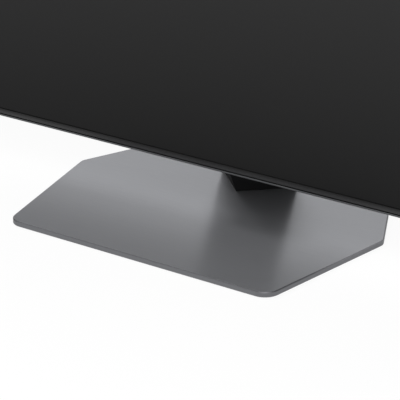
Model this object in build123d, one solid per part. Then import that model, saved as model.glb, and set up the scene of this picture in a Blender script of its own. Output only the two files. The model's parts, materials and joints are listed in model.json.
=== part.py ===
from build123d import *
import math
import os

# A large flat television on a faceted plate stand, in millimetres.
# X runs to the viewer's right, Y away from the viewer and Z up.
# The origin lies on the table, under the middle of the base plate.
# Depths are measured back from the face of the panel, insets in from its edge
# and heights up from the panel's lower edge, unless a comment says otherwise.

# Driving dimensions
panel_width = 1227.4
panel_height = 706.2
panel_depth = 26.9
stand_height = 61.2  # from the table to the lower edge of the panel
screen_setback = 103.3  # from the front edge of the base plate to the face of the panel
base_front_width = 298.0
base_wide_width = 360.0
base_rear_width = 298.0
base_front_depth = 160.0  # from the front edge back to the widest line
base_depth = 229.0
base_thickness = 5.0

# Clearances and tool overruns
seat_gap = 0.2  # between two fixed pieces that seat on each other
run_gap = 0.3  # beside a piece that moves
overrun = 2.0  # how far a cutter passes the face it cuts

# Edge of the panel, from the outside in
trim_wall = 1.8
groove_width = 1.3
bezel_skirt = 1.2
trim_flange_reach = 10.0
trim_flange_thickness = 1.2
trim_edge_round = 0.5
trim_front = 1.0
round_share = 0.4  # of a wall, the most that a round on it may take
bezel_lip = 1.0
bezel_side_cover = 1.4  # how far the lip covers the glass
bezel_edge_round = 0.35
chin_height = 5.4
chin_fall = 0.9  # how far the chin curves back at its lower edge

# Layers of the screen
cell_thickness = 1.4
polariser_thickness = 0.2
polariser_inset = 1.0
shelf_thickness = 1.6
shelf_reach = 5.6
frame_wall = 1.6
film_thickness = 0.4
diffuser_thickness = 1.5
light_chamber = 5.0
chassis_thickness = 1.0
chassis_lip = 6.0

# Back light
led_bar_count = 8
leds_per_bar = 6
led_bar_width = 18.0
led_board_thickness = 1.0
led_size = 5.0
led_height = 1.8
led_window_margin = 1.0
led_bar_end_inset = 30.0
reflector_thickness = 0.4
bead_upper_shares = (0.80, 0.90)  # of the panel's height
bead_below_inserts = 34.0
bead_width = 16.0
bead_slope = 3.0
bead_depth = 1.6
bead_end_inset = 70.0

# Rear cover
cover_inset = 1.6
cover_wall = 2.2
cover_round = 5.0
cover_corner_round = 8.0
cover_rib_height = 2.4
cover_rib_thickness = 1.6
cover_rib_height_shares = (0.85, 0.96)  # of the panel's height
cover_rib_end_inset = 120.0
vent_count = 14
vent_pitch = 14.0
vent_width = 3.2
vent_length = 26.0
vent_top_height = 641.0
vent_low_height = 184.0
vent_middle_x = 300.0
cover_screw_inset = 17.0
cover_boss_radius = 5.0
cover_sink_radius = 4.2
cover_sink_depth = 1.8
cover_screw_count = 6
cover_screws_end_inset = 60.0
screw_head_radius = 3.8
screw_head_height = 1.6
screw_shank_radius = 1.7
screw_tip = 0.6  # how far it passes the chassis sheet

# Wall mounting inserts
vesa_spacing = 200.0
vesa_middle_height = 300.0
vesa_bore = 4.0
vesa_bore_depth = 11.6
vesa_radius = 7.0
vesa_flange_radius = 11.0
vesa_flange_thickness = 2.0
vesa_sink = 0.6  # below the back of the cover

# Circuit boards
board_thickness = 1.6
standoff_height = 3.0
standoff_radius = 3.5
board_hole = 1.6
board_hole_inset = 7.0
board_screw_head = 2.8
board_screw_head_height = 1.8
board_screw_shank = 1.4
board_screw_length = 3.6
main_board_width = 190.0
main_board_beside_insert = 38.0
power_board_width = 210.0
power_board_beside_insert = 18.0
power_board_height = 230.0
timing_board_width = 190.0
timing_board_height = 58.0
timing_board_over_bay = 5.0
driver_board_width = 120.0
driver_board_height = 80.0
driver_board_over_power_board = 25.0
driver_board_beside_bay = 60.0  # from the power bay's inner side out to its left end
radio_board_width = 42.0
radio_board_height = 24.0
radio_board_inset = 143.7  # from the panel's side edge to the board's inner end
radio_board_over_bay = 20.0
source_board_width = 420.0
source_board_height = 16.0
source_board_bottom = 26.0
source_board_inner = 40.0  # from the middle to its inner end
shield_size = 52.0
shield_height = 2.0
shield_wall = 0.4
shield_place_share = (0.30, 0.62)  # of the main board's width and height, to its middle
chip_size = 16.0
chip_height = 1.4
chip_place_shares = ((0.24, 0.28), (0.55, 0.30), (0.66, 0.66), (0.66, 0.86), (0.22, 0.88))
sink_base = 1.4
sink_fin_height = 3.0
sink_fin_thickness = 1.2
sink_fin_count = 8
transformer_width = 34.0
transformer_height = 30.0
transformer_winding_depth = 5.4
transformer_core_depth = 6.4
transformer_core_share = 0.5  # of the winding's width
transformer_place_shares = ((0.42, 0.30), (0.42, 0.70))
capacitor_radius = 3.1
capacitor_length = 28.0
capacitor_round = 0.6
capacitor_place_shares = ((0.68, 0.84), (0.68, 0.74), (0.68, 0.64), (0.68, 0.30), (0.86, 0.84))
inductor_radius = 9.0
inductor_depth = 5.6
inductor_hole = 3.5
inductor_place_shares = ((0.17, 0.52), (0.17, 0.66), (0.17, 0.80))
connector_length = 16.0
connector_width = 6.0
connector_depth = 4.6

# Flat ribbons and leads inside
ribbon_width = 16.0
ribbon_thickness = 0.4
ribbon_beside_insert = 26.0
ribbon_clear = 1.8  # behind the chassis, over the beads
ribbon_rise = 24.0
ribbon_run = 10.0
lead_radius = 1.5
lead_bend = 6.0
lead_rise = 12.0
lead_height = 300.0

# Connector bays in the back
bay_wall = 1.6
bay_floor_thickness = 1.2
bay_width = 104.0
bay_low = 210.0
bay_height = 250.0
bay_flange = 4.0
bay_flange_thickness = 1.4
bay_corner_round = 3.0
power_bay_width = 84.0
power_bay_height = 84.0
socket_gap = 0.3  # between a socket and its hole
socket_stand_out = 0.8
socket_pitch_share = 0.1  # of the bay's height
board_to_bay = 2.0
media_socket_count = 4
media_socket_width = 15.0
media_socket_height = 5.8
media_socket_length = 12.0
media_socket_wall = 0.6
media_socket_slope = 1.6
media_tongue_width = 10.0
media_tongue_thickness = 1.4
media_first_share = 0.92  # of the bay's height
data_socket_count = 2
data_socket_width = 13.6
data_socket_height = 6.6
data_socket_length = 14.0
data_socket_wall = 0.6
data_tongue_width = 11.2
data_tongue_thickness = 1.9
data_tongue_offset = 1.2
data_first_share = 0.50
tongue_recess = 1.5
network_width = 16.0
network_length = 16.0
network_wall = 1.0
network_latch_width = 6.0
network_latch_depth = 1.6
network_share = 0.29
optical_width = 9.9
optical_length = 13.0
optical_frame = 1.2
optical_recess = 1.2
optical_share = 0.19
aerial_radius = 4.4
aerial_bore = 1.0
aerial_bore_depth = 5.0
aerial_length = 9.0
aerial_body = 10.0
aerial_share = 0.08
inlet_width = 21.0
inlet_length = 18.0
inlet_wall = 1.3
inlet_back_wall = 2.0
inlet_pin_radius = 1.2
inlet_pin_spacing = 8.6
inlet_pin_recess = 3.0
inlet_height_share = 0.5  # of the power bay's height

# Speakers
speaker_width = 150.0
speaker_height = 96.0
speaker_inset = 173.7  # from the panel's side edge to the middle of a speaker
speaker_bottom = 52.0
speaker_wall = 1.2
speaker_gap = 0.4  # to the chassis in front and the cover behind
speaker_corner_round = 10.0
cone_radius = 24.0
coil_radius = 10.4
coil_wall = 0.5
coil_length = 3.0
cone_sheet = 0.8
cone_rise = 2.2
dome_rise = 1.4
cone_travel = 0.5
surround_width = 4.7
surround_sheet = 0.5
surround_roll = 1.0
basket_ring = 5.0
basket_sheet = 1.2
basket_seat = 1.6  # how far the ring in the basket's floor overlaps the yoke
basket_window_count = 6
basket_window_share = 0.6  # of the angle between two windows
yoke_radius = 20.0
yoke_wall = 8.4
yoke_floor = 1.4
yoke_gap = 0.1  # under the cone when it is pushed in
pole_radius = 9.4
pole_height = 4.4
grille_slot_count = 9
grille_slot_width = 3.0
bush_radius = 5.0
bush_bore = 1.8
speaker_ear = 12.0
speaker_ear_thickness = 1.6
bush_height = 4.6

# Control housing under the lower edge, its heights counted down from that edge
sensor_x = 400.0
sensor_width = 58.0
sensor_drop = 8.0
sensor_front = 10.0
sensor_back = 25.4
sensor_wall = 1.4
sensor_round = 2.0
window_width = 34.0
window_height = 4.4
window_lip = 0.8
button_width = 14.0
button_reach = 6.0
button_offset = -15.0
button_stand_out = 0.6
button_travel = 0.4
button_flange = 1.0
button_flange_height = 0.8
switch_size = 4.5
switch_height = 1.6
switch_plunger = 1.3
switch_plunger_gap = 0.1  # over the button's flange when it is pressed
mic_width = 5.0
mic_reach = 3.0
mic_offset = 14.0
mic_travel = 2.0
mic_stand_out = 0.6
mic_flange = 1.0
sensor_board_thickness = 1.0
sensor_board_drop = 2.4  # to its under side
sensor_board_margin = 1.3
post_radius = 1.2
post_inset = 2.0

# Stand
foot_radius = 9.0
foot_height = 1.2
foot_sink = 0.5
foot_place_share = 0.85  # of the way from the middle of the plate to its corners
base_corner_radius = 16.0
base_side_radius = 12.0
base_edge_round = 0.9
neck_ridge_setback = 180.3  # from the front edge of the plate to the neck's front ridge
neck_half_width = 44.0
neck_taper_depth = 42.0
neck_side_depth = 6.0
neck_lean_share = 0.5  # forward for each millimetre up
neck_shell = 2.4
neck_ridge_round = 1.2
neck_shoulder_round = 3.0
neck_back_thickness = 3.0
spine_half_width = 26.0
spine_thickness = 7.0
spine_gap = 2.0  # between the spine and the neck's rear cover
web_half = 3.0
web_front = 17.0  # behind the ridge, at the foot
web_head_rise = 12.0  # above the lower edge of the head flange
foot_flange_thickness = 4.0
foot_flange_front_half = 7.0
foot_flange_rear_half = 34.0
foot_flange_front = 15.0  # behind the ridge
foot_flange_rear = 42.0
head_flange_thickness = 4.0
head_drop = 17.4  # from the neck's top down to the head flange
head_height = 45.0
head_low_half = 8.5
head_high_half = 33.0
head_clearance = 2.5  # round the head flange in the cover's window
receiver_half_width = 62.0
receiver_margin = 12.0  # above and below the head flange
receiver_thickness = 3.2
receiver_round = 6.0
stand_screw_radius = 2.5
stand_screw_gap = 0.15
stand_screw_head = 4.4
stand_screw_head_height = 2.6
stand_screw_tip_gap = 0.4
stand_screw_recess = 0.4
head_screw_wide = 22.0
head_screw_narrow = 8.0
head_screw_high_drop = 10.0  # below the head flange's upper edge
head_screw_low_rise = 10.0  # above its lower edge
foot_screw_wide = 22.0
foot_screw_narrow = 11.0
foot_screw_rear = 38.0  # behind the ridge
foot_screw_front = 25.0

# Depths of the layers, worked out from the values above
cell_front = bezel_lip + seat_gap
cell_back = cell_front + cell_thickness
shelf_front = cell_back + seat_gap
shelf_back = shelf_front + shelf_thickness
prism_front = shelf_back + seat_gap
quantum_front = prism_front + film_thickness
diffuser_front = quantum_front + film_thickness
diffuser_back = diffuser_front + diffuser_thickness
rim_front = diffuser_back + seat_gap
chassis_front = diffuser_back + light_chamber
chassis_back = chassis_front + chassis_thickness
trim_flange_front = chassis_back + seat_gap
trim_back = trim_flange_front + trim_flange_thickness
cover_front = trim_back + seat_gap
cover_inner = panel_depth - cover_wall
board_front = chassis_back + standoff_height
board_back = board_front + board_thickness
led_board_front = chassis_front - led_board_thickness
led_front = led_board_front - led_height
bay_front = chassis_back + seat_gap
bay_floor = bay_front + bay_floor_thickness
mid_front = bay_floor + socket_gap
mid_back = cover_inner - seat_gap
receiver_back = chassis_back + receiver_thickness
head_back = receiver_back + head_flange_thickness

# Places worked out from the values above
base_front = -base_depth / 2
base_top = foot_height + base_thickness
panel_front = base_front + screen_setback
panel_back = panel_front + panel_depth
panel_half = panel_width / 2
panel_middle = stand_height + panel_height / 2
bezel_inset = trim_wall + groove_width
bezel_side_reach = bezel_skirt + run_gap + bezel_side_cover
cell_inset = bezel_inset + bezel_skirt + run_gap
chassis_inset = bezel_inset + frame_wall + run_gap
led_pitch_x = (panel_width - led_bar_end_inset - led_bar_end_inset) / led_bar_count
led_bar_height = panel_height - led_bar_end_inset - led_bar_end_inset
led_pitch_z = led_bar_height / leds_per_bar
main_board_left = vesa_spacing / 2 + main_board_beside_insert
bay_left = main_board_left + main_board_width + board_to_bay
bay_right = bay_left + bay_width
power_board_left = -vesa_spacing / 2 - power_board_beside_insert - power_board_width
power_bay_left = board_to_bay - power_board_left
bay_high = bay_low + bay_height
main_board_height = bay_height
timing_board_bottom = bay_high + timing_board_over_bay
radio_board_bottom = bay_high + radio_board_over_bay
driver_board_bottom = bay_low + power_board_height + driver_board_over_power_board
driver_board_left = -power_bay_left - driver_board_beside_bay
ribbon_x = vesa_spacing / 2 - ribbon_beside_insert
socket_mouth = bay_left + bay_wall + socket_stand_out
inlet_mouth = power_bay_left + bay_wall + socket_stand_out
radio_board_left = panel_half - radio_board_inset
speaker_x = panel_half - speaker_inset
speaker_middle = speaker_bottom + speaker_height / 2
speaker_front = chassis_back + speaker_gap
speaker_back = cover_inner - speaker_gap
neck_depth = neck_taper_depth + neck_side_depth
neck_foot = base_top + seat_gap
neck_top = base_top + (base_front + neck_ridge_setback + neck_depth - panel_back) / neck_lean_share
head_high = neck_top - head_drop
head_low = head_high - head_height


# Helpers
def span(low, high):
    """A block between two opposite corners."""
    size = [far - near for near, far in zip(low, high)]
    return Pos(*low) * Box(*size, align=(Align.MIN, Align.MIN, Align.MIN))


def slab(left, right, low, high, front, back):
    """A block in the panel: x from left to right, then heights, then depths."""
    near = (left, panel_front + front, stand_height + low)
    far = (right, panel_front + back, stand_height + high)
    return span(near, far)


def strip(left, right, middle, half_height, front, back):
    """A block in the panel, given by the middle of its height."""
    return slab(left, right, middle - half_height, middle + half_height, front, back)


def pad(x, height, half_width, half_height, front, back):
    """A block in the panel about a middle place."""
    return strip(x - half_width, x + half_width, height, half_height, front, back)


def sheet(inset, front, back):
    """A sheet in the panel, inset alike on all four sides."""
    return slab(inset - panel_half, panel_half - inset, inset, panel_height - inset, front, back)


def rod(radius, x, height, front, back):
    """A round bar in the panel along Y."""
    bar = Cylinder(radius, back - front, align=(Align.CENTER, Align.CENTER, Align.MIN))
    return Pos(x, panel_front + back, stand_height + height) * Rot(X=90) * bar


def post(radius, x, y, low, high):
    """An upright round bar, in the frame of the table."""
    bar = Cylinder(radius, high - low, align=(Align.CENTER, Align.CENTER, Align.MIN))
    return Pos(x, y, low) * bar


def outline(*points):
    """A flat face inside straight lines through the points."""
    return make_face(Polyline(*points, close=True))


def push(flat, x=0, y=0, z=0):
    """A flat face extruded along a vector."""
    return Solid.extrude(flat.face(), Vector(x, y, z))


def wall_prism(points, front, back):
    """A block with an outline of x and height above the table, between two depths."""
    flat = Pos(0, panel_front + front, 0) * (Plane.XZ * outline(*points))
    return push(flat, y=back - front)


def cross_prism(points, left, right):
    """A block with an outline of depth and height, between two places in x."""
    flat = Pos(left, panel_front, stand_height) * (Plane.YZ * outline(*points))
    return push(flat, x=right - left)


def turned(points, x, height):
    """A round piece about a Y axis in the panel, from points of radius and depth."""
    return Pos(x, panel_front, stand_height + height) * revolve(outline(*points), Axis.Y)


def group(*pieces):
    """Several separate solids kept as one node."""
    return Compound([solid for piece in pieces for solid in piece.solids()])


def centred(count, pitch):
    """Evenly spaced places about zero."""
    return [(index - (count - 1) / 2) * pitch for index in range(count)]


def mirrored(piece):
    """The same piece on the other side of the panel."""
    return mirror(piece, Plane.YZ)


# Edge of the panel
def frame_bar(profile, half_run, half_reach, mitre, angle):
    """One mitred bar: a profile of depth and inset, run along an edge and turned about Y."""
    run = extrude(Plane.YZ * profile, half_run, both=True)
    inner = half_run - mitre
    deep = half_reach / 2
    corners = ((-half_run, 0), (half_run, 0), (inner, mitre), (inner, deep), (-inner, deep), (-inner, mitre))
    cut = extrude(Plane.XZ * outline(*corners), panel_depth, both=True)
    bar = Pos(0, 0, -half_reach) * (run & cut)
    return Pos(0, panel_front, panel_middle) * Rot(Y=angle) * bar


def mitred_frame(lower_profile, other_profile, mitre):
    """Four bars round the panel, the lower one with a profile of its own."""
    half_height = panel_height / 2
    lower = frame_bar(lower_profile, panel_half, half_height, mitre, 0)
    upper = frame_bar(other_profile, panel_half, half_height, mitre, 180)
    sides = [frame_bar(other_profile, half_height, panel_half, mitre, turn) for turn in (90, -90)]
    return group(lower, upper, *sides)


def trim_profile():
    points = (
        (trim_front, 0),
        (trim_back, 0),
        (trim_back, trim_flange_reach),
        (trim_flange_front, trim_flange_reach),
        (trim_flange_front, trim_wall),
        (trim_front, trim_wall),
    )
    flat = outline(*points)
    front_edges = flat.vertices().sort_by(Axis.X)[:2]
    return fillet(front_edges, min(trim_edge_round, trim_wall * round_share))


def make_outer_trim():
    return mitred_frame(trim_profile(), trim_profile(), trim_flange_reach)


def bezel_profile():
    points = (
        (0, bezel_inset),
        (cell_back, bezel_inset),
        (cell_back, bezel_inset + bezel_skirt),
        (bezel_lip, bezel_inset + bezel_skirt),
        (bezel_lip, bezel_inset + bezel_side_reach),
        (0, bezel_inset + bezel_side_reach),
    )
    flat = outline(*points)
    front_edges = flat.vertices().sort_by(Axis.X)[:2]
    return fillet(front_edges, min(bezel_edge_round, bezel_lip * round_share))


def chin_profile():
    """The lower bar's profile: its face curves back towards the lower edge."""
    top = bezel_inset + chin_height
    face = TangentArc((0, top), (chin_fall, bezel_inset), tangent=(0, -1))
    rest = Polyline(
        (chin_fall, bezel_inset),
        (cell_back, bezel_inset),
        (cell_back, bezel_inset + bezel_skirt),
        (bezel_lip, bezel_inset + bezel_skirt),
        (bezel_lip, top),
        (0, top),
    )
    return make_face(face + rest)


def make_front_bezel():
    return mitred_frame(chin_profile(), bezel_profile(), bezel_inset + bezel_side_reach)


def make_middle_frame():
    inner = bezel_inset + frame_wall
    points = (
        (shelf_front, bezel_inset),
        (chassis_back, bezel_inset),
        (chassis_back, inner),
        (shelf_back, inner),
        (shelf_back, bezel_inset + shelf_reach),
        (shelf_front, bezel_inset + shelf_reach),
    )
    return mitred_frame(outline(*points), outline(*points), shelf_reach + bezel_inset)


# Layers of the screen
def make_lcd_cell():
    glass = sheet(cell_inset, cell_front + polariser_thickness, cell_back - polariser_thickness)
    inset = cell_inset + polariser_inset
    front = sheet(inset, cell_front, cell_front + polariser_thickness)
    back = sheet(inset, cell_back - polariser_thickness, cell_back)
    return glass + front + back


def make_reflector_sheet():
    back = led_board_front - seat_gap
    flat = sheet(chassis_inset + chassis_lip, back - reflector_thickness, back)
    half = led_size / 2 + led_window_margin
    windows = [
        pad(x, height, half, half, back - overrun, back + seat_gap)
        for x, height in led_places()
    ]
    return flat - windows


def led_places():
    heights = [panel_height / 2 + offset for offset in centred(leds_per_bar, led_pitch_z)]
    return [(x, height) for x in centred(led_bar_count, led_pitch_x) for height in heights]


def make_led_boards():
    half = led_bar_width / 2
    low = led_bar_end_inset
    bars = [
        slab(x - half, x + half, low, low + led_bar_height, led_board_front, chassis_front)
        for x in centred(led_bar_count, led_pitch_x)
    ]
    return group(*bars)


def make_led_lights():
    half = led_size / 2
    lights = [
        pad(x, height, half, half, led_front, led_board_front)
        for x, height in led_places()
    ]
    return group(*lights)


def bead(height, shift, slope):
    """A pressed bead across the chassis, moved back by the sheet's thickness for its outside."""
    low = height - bead_width / 2
    high = height + bead_width / 2
    front = chassis_front + shift
    back = front + bead_depth
    points = ((front, low), (back, low + slope), (back, high - slope), (front, high))
    reach = panel_half - bead_end_inset
    return cross_prism(points, -reach, reach)


def bead_heights():
    """One bead under the wall inserts and the others above the boards."""
    low = vesa_middle_height - vesa_spacing / 2 - bead_below_inserts
    return [low] + [panel_height * share for share in bead_upper_shares]


def make_back_chassis():
    inner = chassis_inset + chassis_thickness
    tray = sheet(chassis_inset, rim_front, chassis_back)
    tray -= sheet(inner, rim_front + chassis_thickness, chassis_front)
    tray -= sheet(inner + chassis_lip, rim_front - overrun, chassis_front)
    for height in bead_heights():
        tray += bead(height, chassis_thickness, bead_slope)
    for height in bead_heights():
        narrow = bead_slope + chassis_thickness
        tray -= bead(height, 0, narrow) & bead(height, 0, bead_slope)
    seats = [
        rod(standoff_radius, x, height, chassis_back, board_front)
        for place in board_places()
        for x, height in board_screw_places(*place)
    ]
    tray += seats
    bores = [
        rod(board_hole, x, height, chassis_back, board_front + overrun)
        for place in board_places()
        for x, height in board_screw_places(*place)
    ]
    screws = [
        rod(screw_shank_radius + seat_gap, x, height, chassis_front - overrun, chassis_back + overrun)
        for x, height in cover_screw_places()
    ]
    return tray - bores - screws


# Circuit boards
def main_board_place():
    return (main_board_left, bay_low, main_board_width, main_board_height)


def power_board_place():
    return (power_board_left, bay_low, power_board_width, power_board_height)


def timing_board_place():
    return (-timing_board_width / 2, timing_board_bottom, timing_board_width, timing_board_height)


def driver_board_place():
    return (driver_board_left, driver_board_bottom, driver_board_width, driver_board_height)


def radio_board_place():
    return (radio_board_left, radio_board_bottom, radio_board_width, radio_board_height)


def source_board_places():
    right = (source_board_inner, source_board_bottom, source_board_width, source_board_height)
    left = (-source_board_inner - source_board_width,) + right[1:]
    return [left, right]


def board_places():
    wide = [main_board_place(), power_board_place(), timing_board_place(), driver_board_place()]
    return wide + [radio_board_place()] + source_board_places()


def board_screw_places(left, low, width, height):
    """Four corners, or both ends of the middle line on a narrow board."""
    across = (left + board_hole_inset, left + width - board_hole_inset)
    up = {low + board_hole_inset, low + height - board_hole_inset}
    if height < 2 * (board_hole_inset + board_hole_inset):
        up = {low + height / 2}
    return [(x, z) for x in across for z in sorted(up)]


def board(left, low, width, height):
    """A bare circuit board with its screw holes."""
    plate = slab(left, left + width, low, low + height, board_front, board_back)
    holes = [
        rod(board_hole, x, z, board_front - overrun, board_back + overrun)
        for x, z in board_screw_places(left, low, width, height)
    ]
    return plate - holes


def on_board(place, share):
    """A place on a board, from shares of its width and height."""
    left, low, width, height = place
    return left + width * share[0], low + height * share[1]


def chip(x, height, size, depth):
    """A square package on a board, chamfered round its top."""
    half = size / 2
    block = pad(x, height, half, half, board_back, board_back + depth)
    return chamfer(block.faces().sort_by(Axis.Y)[-1].edges(), depth * round_share)


def connector(x, height, along_x):
    """A wire connector: an open box with a wall round its pins."""
    half_x = (connector_length if along_x else connector_width) / 2
    half_z = (connector_width if along_x else connector_length) / 2
    back = board_back + connector_depth
    block = pad(x, height, half_x, half_z, board_back, back)
    wall = board_thickness / 2
    inner_x = half_x - wall
    inner_z = half_z - wall
    floor = board_back + wall
    return block - pad(x, height, inner_x, inner_z, floor, back + overrun)


def make_main_board():
    place = main_board_place()
    plate = board(*place)
    for middle, width, length in mid_sockets():
        half = width / 2 + socket_gap
        left = socket_mouth - length - socket_gap
        plate -= strip(left, bay_left, middle, half, board_front - overrun, board_back + overrun)
    x, height = on_board(place, shield_place_share)
    half = shield_size / 2
    can = pad(x, height, half, half, board_back, board_back + shield_height)
    inner = half - shield_wall
    ceiling = board_back + shield_height - shield_wall
    can -= pad(x, height, inner, inner, board_back, ceiling)
    chips = [chip(*on_board(place, share), chip_size, chip_height) for share in chip_place_shares]
    low_plug = connector(main_board_left + connector_length, lead_height, False)
    return group(plate, can, *chips, low_plug)


def make_main_heatsink():
    """A finned plate on the processor's shield."""
    x, height = on_board(main_board_place(), shield_place_share)
    half = shield_size / 2
    base_face = board_back + shield_height
    base_back = base_face + sink_base
    plate = pad(x, height, half, half, base_face, base_back)
    pitch = (shield_size - sink_fin_thickness) / (sink_fin_count - 1)
    thin = sink_fin_thickness / 2
    for offset in centred(sink_fin_count, pitch):
        middle = x + offset
        fin_back = base_back + sink_fin_height
        plate += pad(middle, height, thin, half, base_face, fin_back)
    return plate


def make_power_board():
    place = power_board_place()
    plate = board(*place)
    middle = bay_low + power_bay_height * inlet_height_share
    half = inlet_width / 2 + socket_gap
    right = -(inlet_mouth - inlet_length - socket_gap)
    plate -= strip(-power_bay_left, right, middle, half, board_front - overrun, board_back + overrun)
    plug = connector(power_board_left + power_board_width - connector_length, lead_height, False)
    return group(plate, plug)


def transformer(x, height):
    """A wound block between the two halves of its core."""
    half_x = transformer_width / 2
    half_z = transformer_height / 2
    core_z = half_z * transformer_core_share
    back = board_back + transformer_winding_depth
    winding = pad(x, height, half_x, half_z, board_back, back)
    winding = fillet(winding.edges().filter_by(Axis.Y), half_z * round_share)
    core_back = board_back + transformer_core_depth
    core = pad(x, height, half_z, core_z, board_back, core_back)
    return winding + core


def make_transformers():
    place = power_board_place()
    return group(*[transformer(*on_board(place, share)) for share in transformer_place_shares])


def make_capacitors():
    """Cans lying on the power board."""
    cans = []
    for share in capacitor_place_shares:
        x, height = on_board(power_board_place(), share)
        can = Cylinder(capacitor_radius, capacitor_length)
        can = fillet(can.faces().sort_by(Axis.Z)[-1].edges(), capacitor_round)
        middle = board_back + capacitor_radius
        place = Pos(x, panel_front + middle, stand_height + height)
        cans.append(place * Rot(Y=90) * can)
    return group(*cans)


def make_inductors():
    rings = []
    for share in inductor_place_shares:
        x, height = on_board(power_board_place(), share)
        back = board_back + inductor_depth
        ring = rod(inductor_radius, x, height, board_back, back)
        ring -= rod(inductor_hole, x, height, board_back - overrun, back + overrun)
        rings.append(fillet(ring.faces().sort_by(Axis.Y)[-1].edges(), capacitor_round))
    return group(*rings)


def make_timing_board():
    place = timing_board_place()
    low = timing_board_bottom
    plugs = [ribbon_plug(side * ribbon_x, low, low + connector_width) for side in (-1, 1)]
    processor = chip(0, low + timing_board_height / 2, chip_size, chip_height)
    return group(board(*place), *plugs, processor)


def ribbon_plug(x, low, high):
    """The clamp that holds the end of a flat ribbon."""
    half = ribbon_width / 2 + board_thickness
    return slab(x - half, x + half, low, high, board_back, board_back + ribbon_plug_depth())


def ribbon_plug_depth():
    return board_thickness + ribbon_thickness


def make_source_boards():
    """Strips along the lower edge, each with the ribbon's clamp at its inner end."""
    pieces = []
    high = source_board_bottom + source_board_height
    for side, place in zip((-1, 1), source_board_places()):
        clamp = ribbon_plug(side * ribbon_x, high - connector_width, high)
        pieces += [board(*place), clamp]
    return group(*pieces)


def make_panel_ribbons():
    """Flat ribbons from the timing board down to the strips, laid over the chassis."""
    low = source_board_bottom + source_board_height
    high = timing_board_bottom
    near = chassis_back + ribbon_clear
    far = board_back + ribbon_thickness
    line = (
        (far, low),
        (far, low + ribbon_run),
        (near, low + ribbon_rise),
        (near, high - ribbon_rise),
        (far, high - ribbon_run),
        (far, high),
    )
    outer = [(depth + ribbon_thickness, height) for depth, height in reversed(line)]
    half = ribbon_width / 2
    return group(*[cross_prism(line + tuple(outer), x - half, x + half) for x in (-ribbon_x, ribbon_x)])


def make_harness():
    """A round lead from the power board to the main board, down to the chassis between them."""
    start = power_board_left + power_board_width - connector_length + connector_width / 2
    end = main_board_left + connector_length - connector_width / 2
    high = board_back + connector_depth / 2
    low = chassis_back + ribbon_clear + ribbon_thickness + seat_gap + lead_radius
    edge_left = power_board_left + power_board_width
    edge_right = main_board_left
    points = (
        (start, high),
        (edge_left + lead_rise, high),
        (edge_left + lead_rise + lead_rise, low),
        (edge_right - lead_rise - lead_rise, low),
        (edge_right - lead_rise, high),
        (end, high),
    )
    path = Pos(0, panel_front, stand_height + lead_height) * FilletPolyline(*points, radius=lead_bend)
    place = Plane(origin=path @ 0, z_dir=path % 0)
    return sweep(place * Circle(lead_radius), path=path)


def make_driver_board():
    place = driver_board_place()
    left, low, width, height = place
    inset = connector_length
    plug = connector(left + inset, low + height / 2, False)
    driver = chip(left + width / 2, low + height / 2, chip_size, chip_height)
    return group(board(*place), plug, driver)


def make_radio_board():
    place = radio_board_place()
    left, low, width, height = place
    return group(board(*place), chip(left + width / 2, low + height / 2, chip_size, chip_height))


def make_board_screws():
    screws = []
    for place in board_places():
        for x, height in board_screw_places(*place):
            head = rod(board_screw_head, x, height, board_back, board_back + board_screw_head_height)
            tip = board_back - board_screw_length
            screws.append(head + rod(board_screw_shank, x, height, tip, board_back))
    return group(*screws)


# Sockets
def mid_sockets():
    """Sockets that sit in notches of the main board: middle height, width and length."""
    return (
        (bay_low + bay_height * network_share, network_width, network_length),
        (bay_low + bay_height * optical_share, optical_width, optical_length),
        (bay_low + bay_height * aerial_share, aerial_body, aerial_body),
    )


def media_heights():
    top = bay_low + bay_height * media_first_share
    return [top - index * bay_height * socket_pitch_share for index in range(media_socket_count)]


def data_heights():
    top = bay_low + bay_height * data_first_share
    return [top - index * bay_height * socket_pitch_share for index in range(data_socket_count)]


def shell_points(middle, width, height, slope, wall):
    """The outline of a socket shell whose front corners are cut off, moved in by a wall."""
    low = middle - width / 2 + wall
    high = middle + width / 2 - wall
    front = board_back + wall
    back = board_back + height - wall
    lower = ((front, low + slope), (front + slope, low), (back, low))
    upper = ((back, high), (front + slope, high), (front, high - slope))
    return lower + upper


def make_media_sockets():
    sockets = []
    start = socket_mouth - media_socket_length
    for middle in media_heights():
        sizes = (middle, media_socket_width, media_socket_height, media_socket_slope)
        shell = cross_prism(shell_points(*sizes, 0), start, socket_mouth)
        wall = media_socket_wall
        shell -= cross_prism(shell_points(*sizes, wall), start + wall, socket_mouth + overrun)
        half = media_tongue_width / 2
        front = board_back + (media_socket_height - media_tongue_thickness) / 2
        back = front + media_tongue_thickness
        shell += strip(start, socket_mouth - tongue_recess, middle, half, front, back)
        sockets.append(shell)
    return group(*sockets)


def make_data_sockets():
    sockets = []
    start = socket_mouth - data_socket_length
    for middle in data_heights():
        half = data_socket_width / 2
        back = board_back + data_socket_height
        shell = strip(start, socket_mouth, middle, half, board_back, back)
        half -= data_socket_wall
        inner = (board_back + data_socket_wall, back - data_socket_wall)
        shell -= strip(start + data_socket_wall, socket_mouth + overrun, middle, half, *inner)
        half = data_tongue_width / 2
        front = board_back + data_tongue_offset
        low = middle - half
        high = middle + half
        shell += slab(start, socket_mouth - tongue_recess, low, high, front, front + data_tongue_thickness)
        sockets.append(shell)
    return group(*sockets)


def make_network_socket():
    """A square socket with the notch for the plug's latch."""
    middle, width, length = mid_sockets()[0]
    start = socket_mouth - length
    half = width / 2
    body = strip(start, socket_mouth, middle, half, mid_front, mid_back)
    half -= network_wall
    back = mid_back - network_wall
    front = mid_front + network_wall + network_latch_depth
    mouth = socket_mouth + overrun
    body -= strip(start + network_wall, mouth, middle, half, front, back)
    half = network_latch_width / 2
    notch = front - network_latch_depth
    return body - strip(start + network_wall, mouth, middle, half, notch, back)


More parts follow.
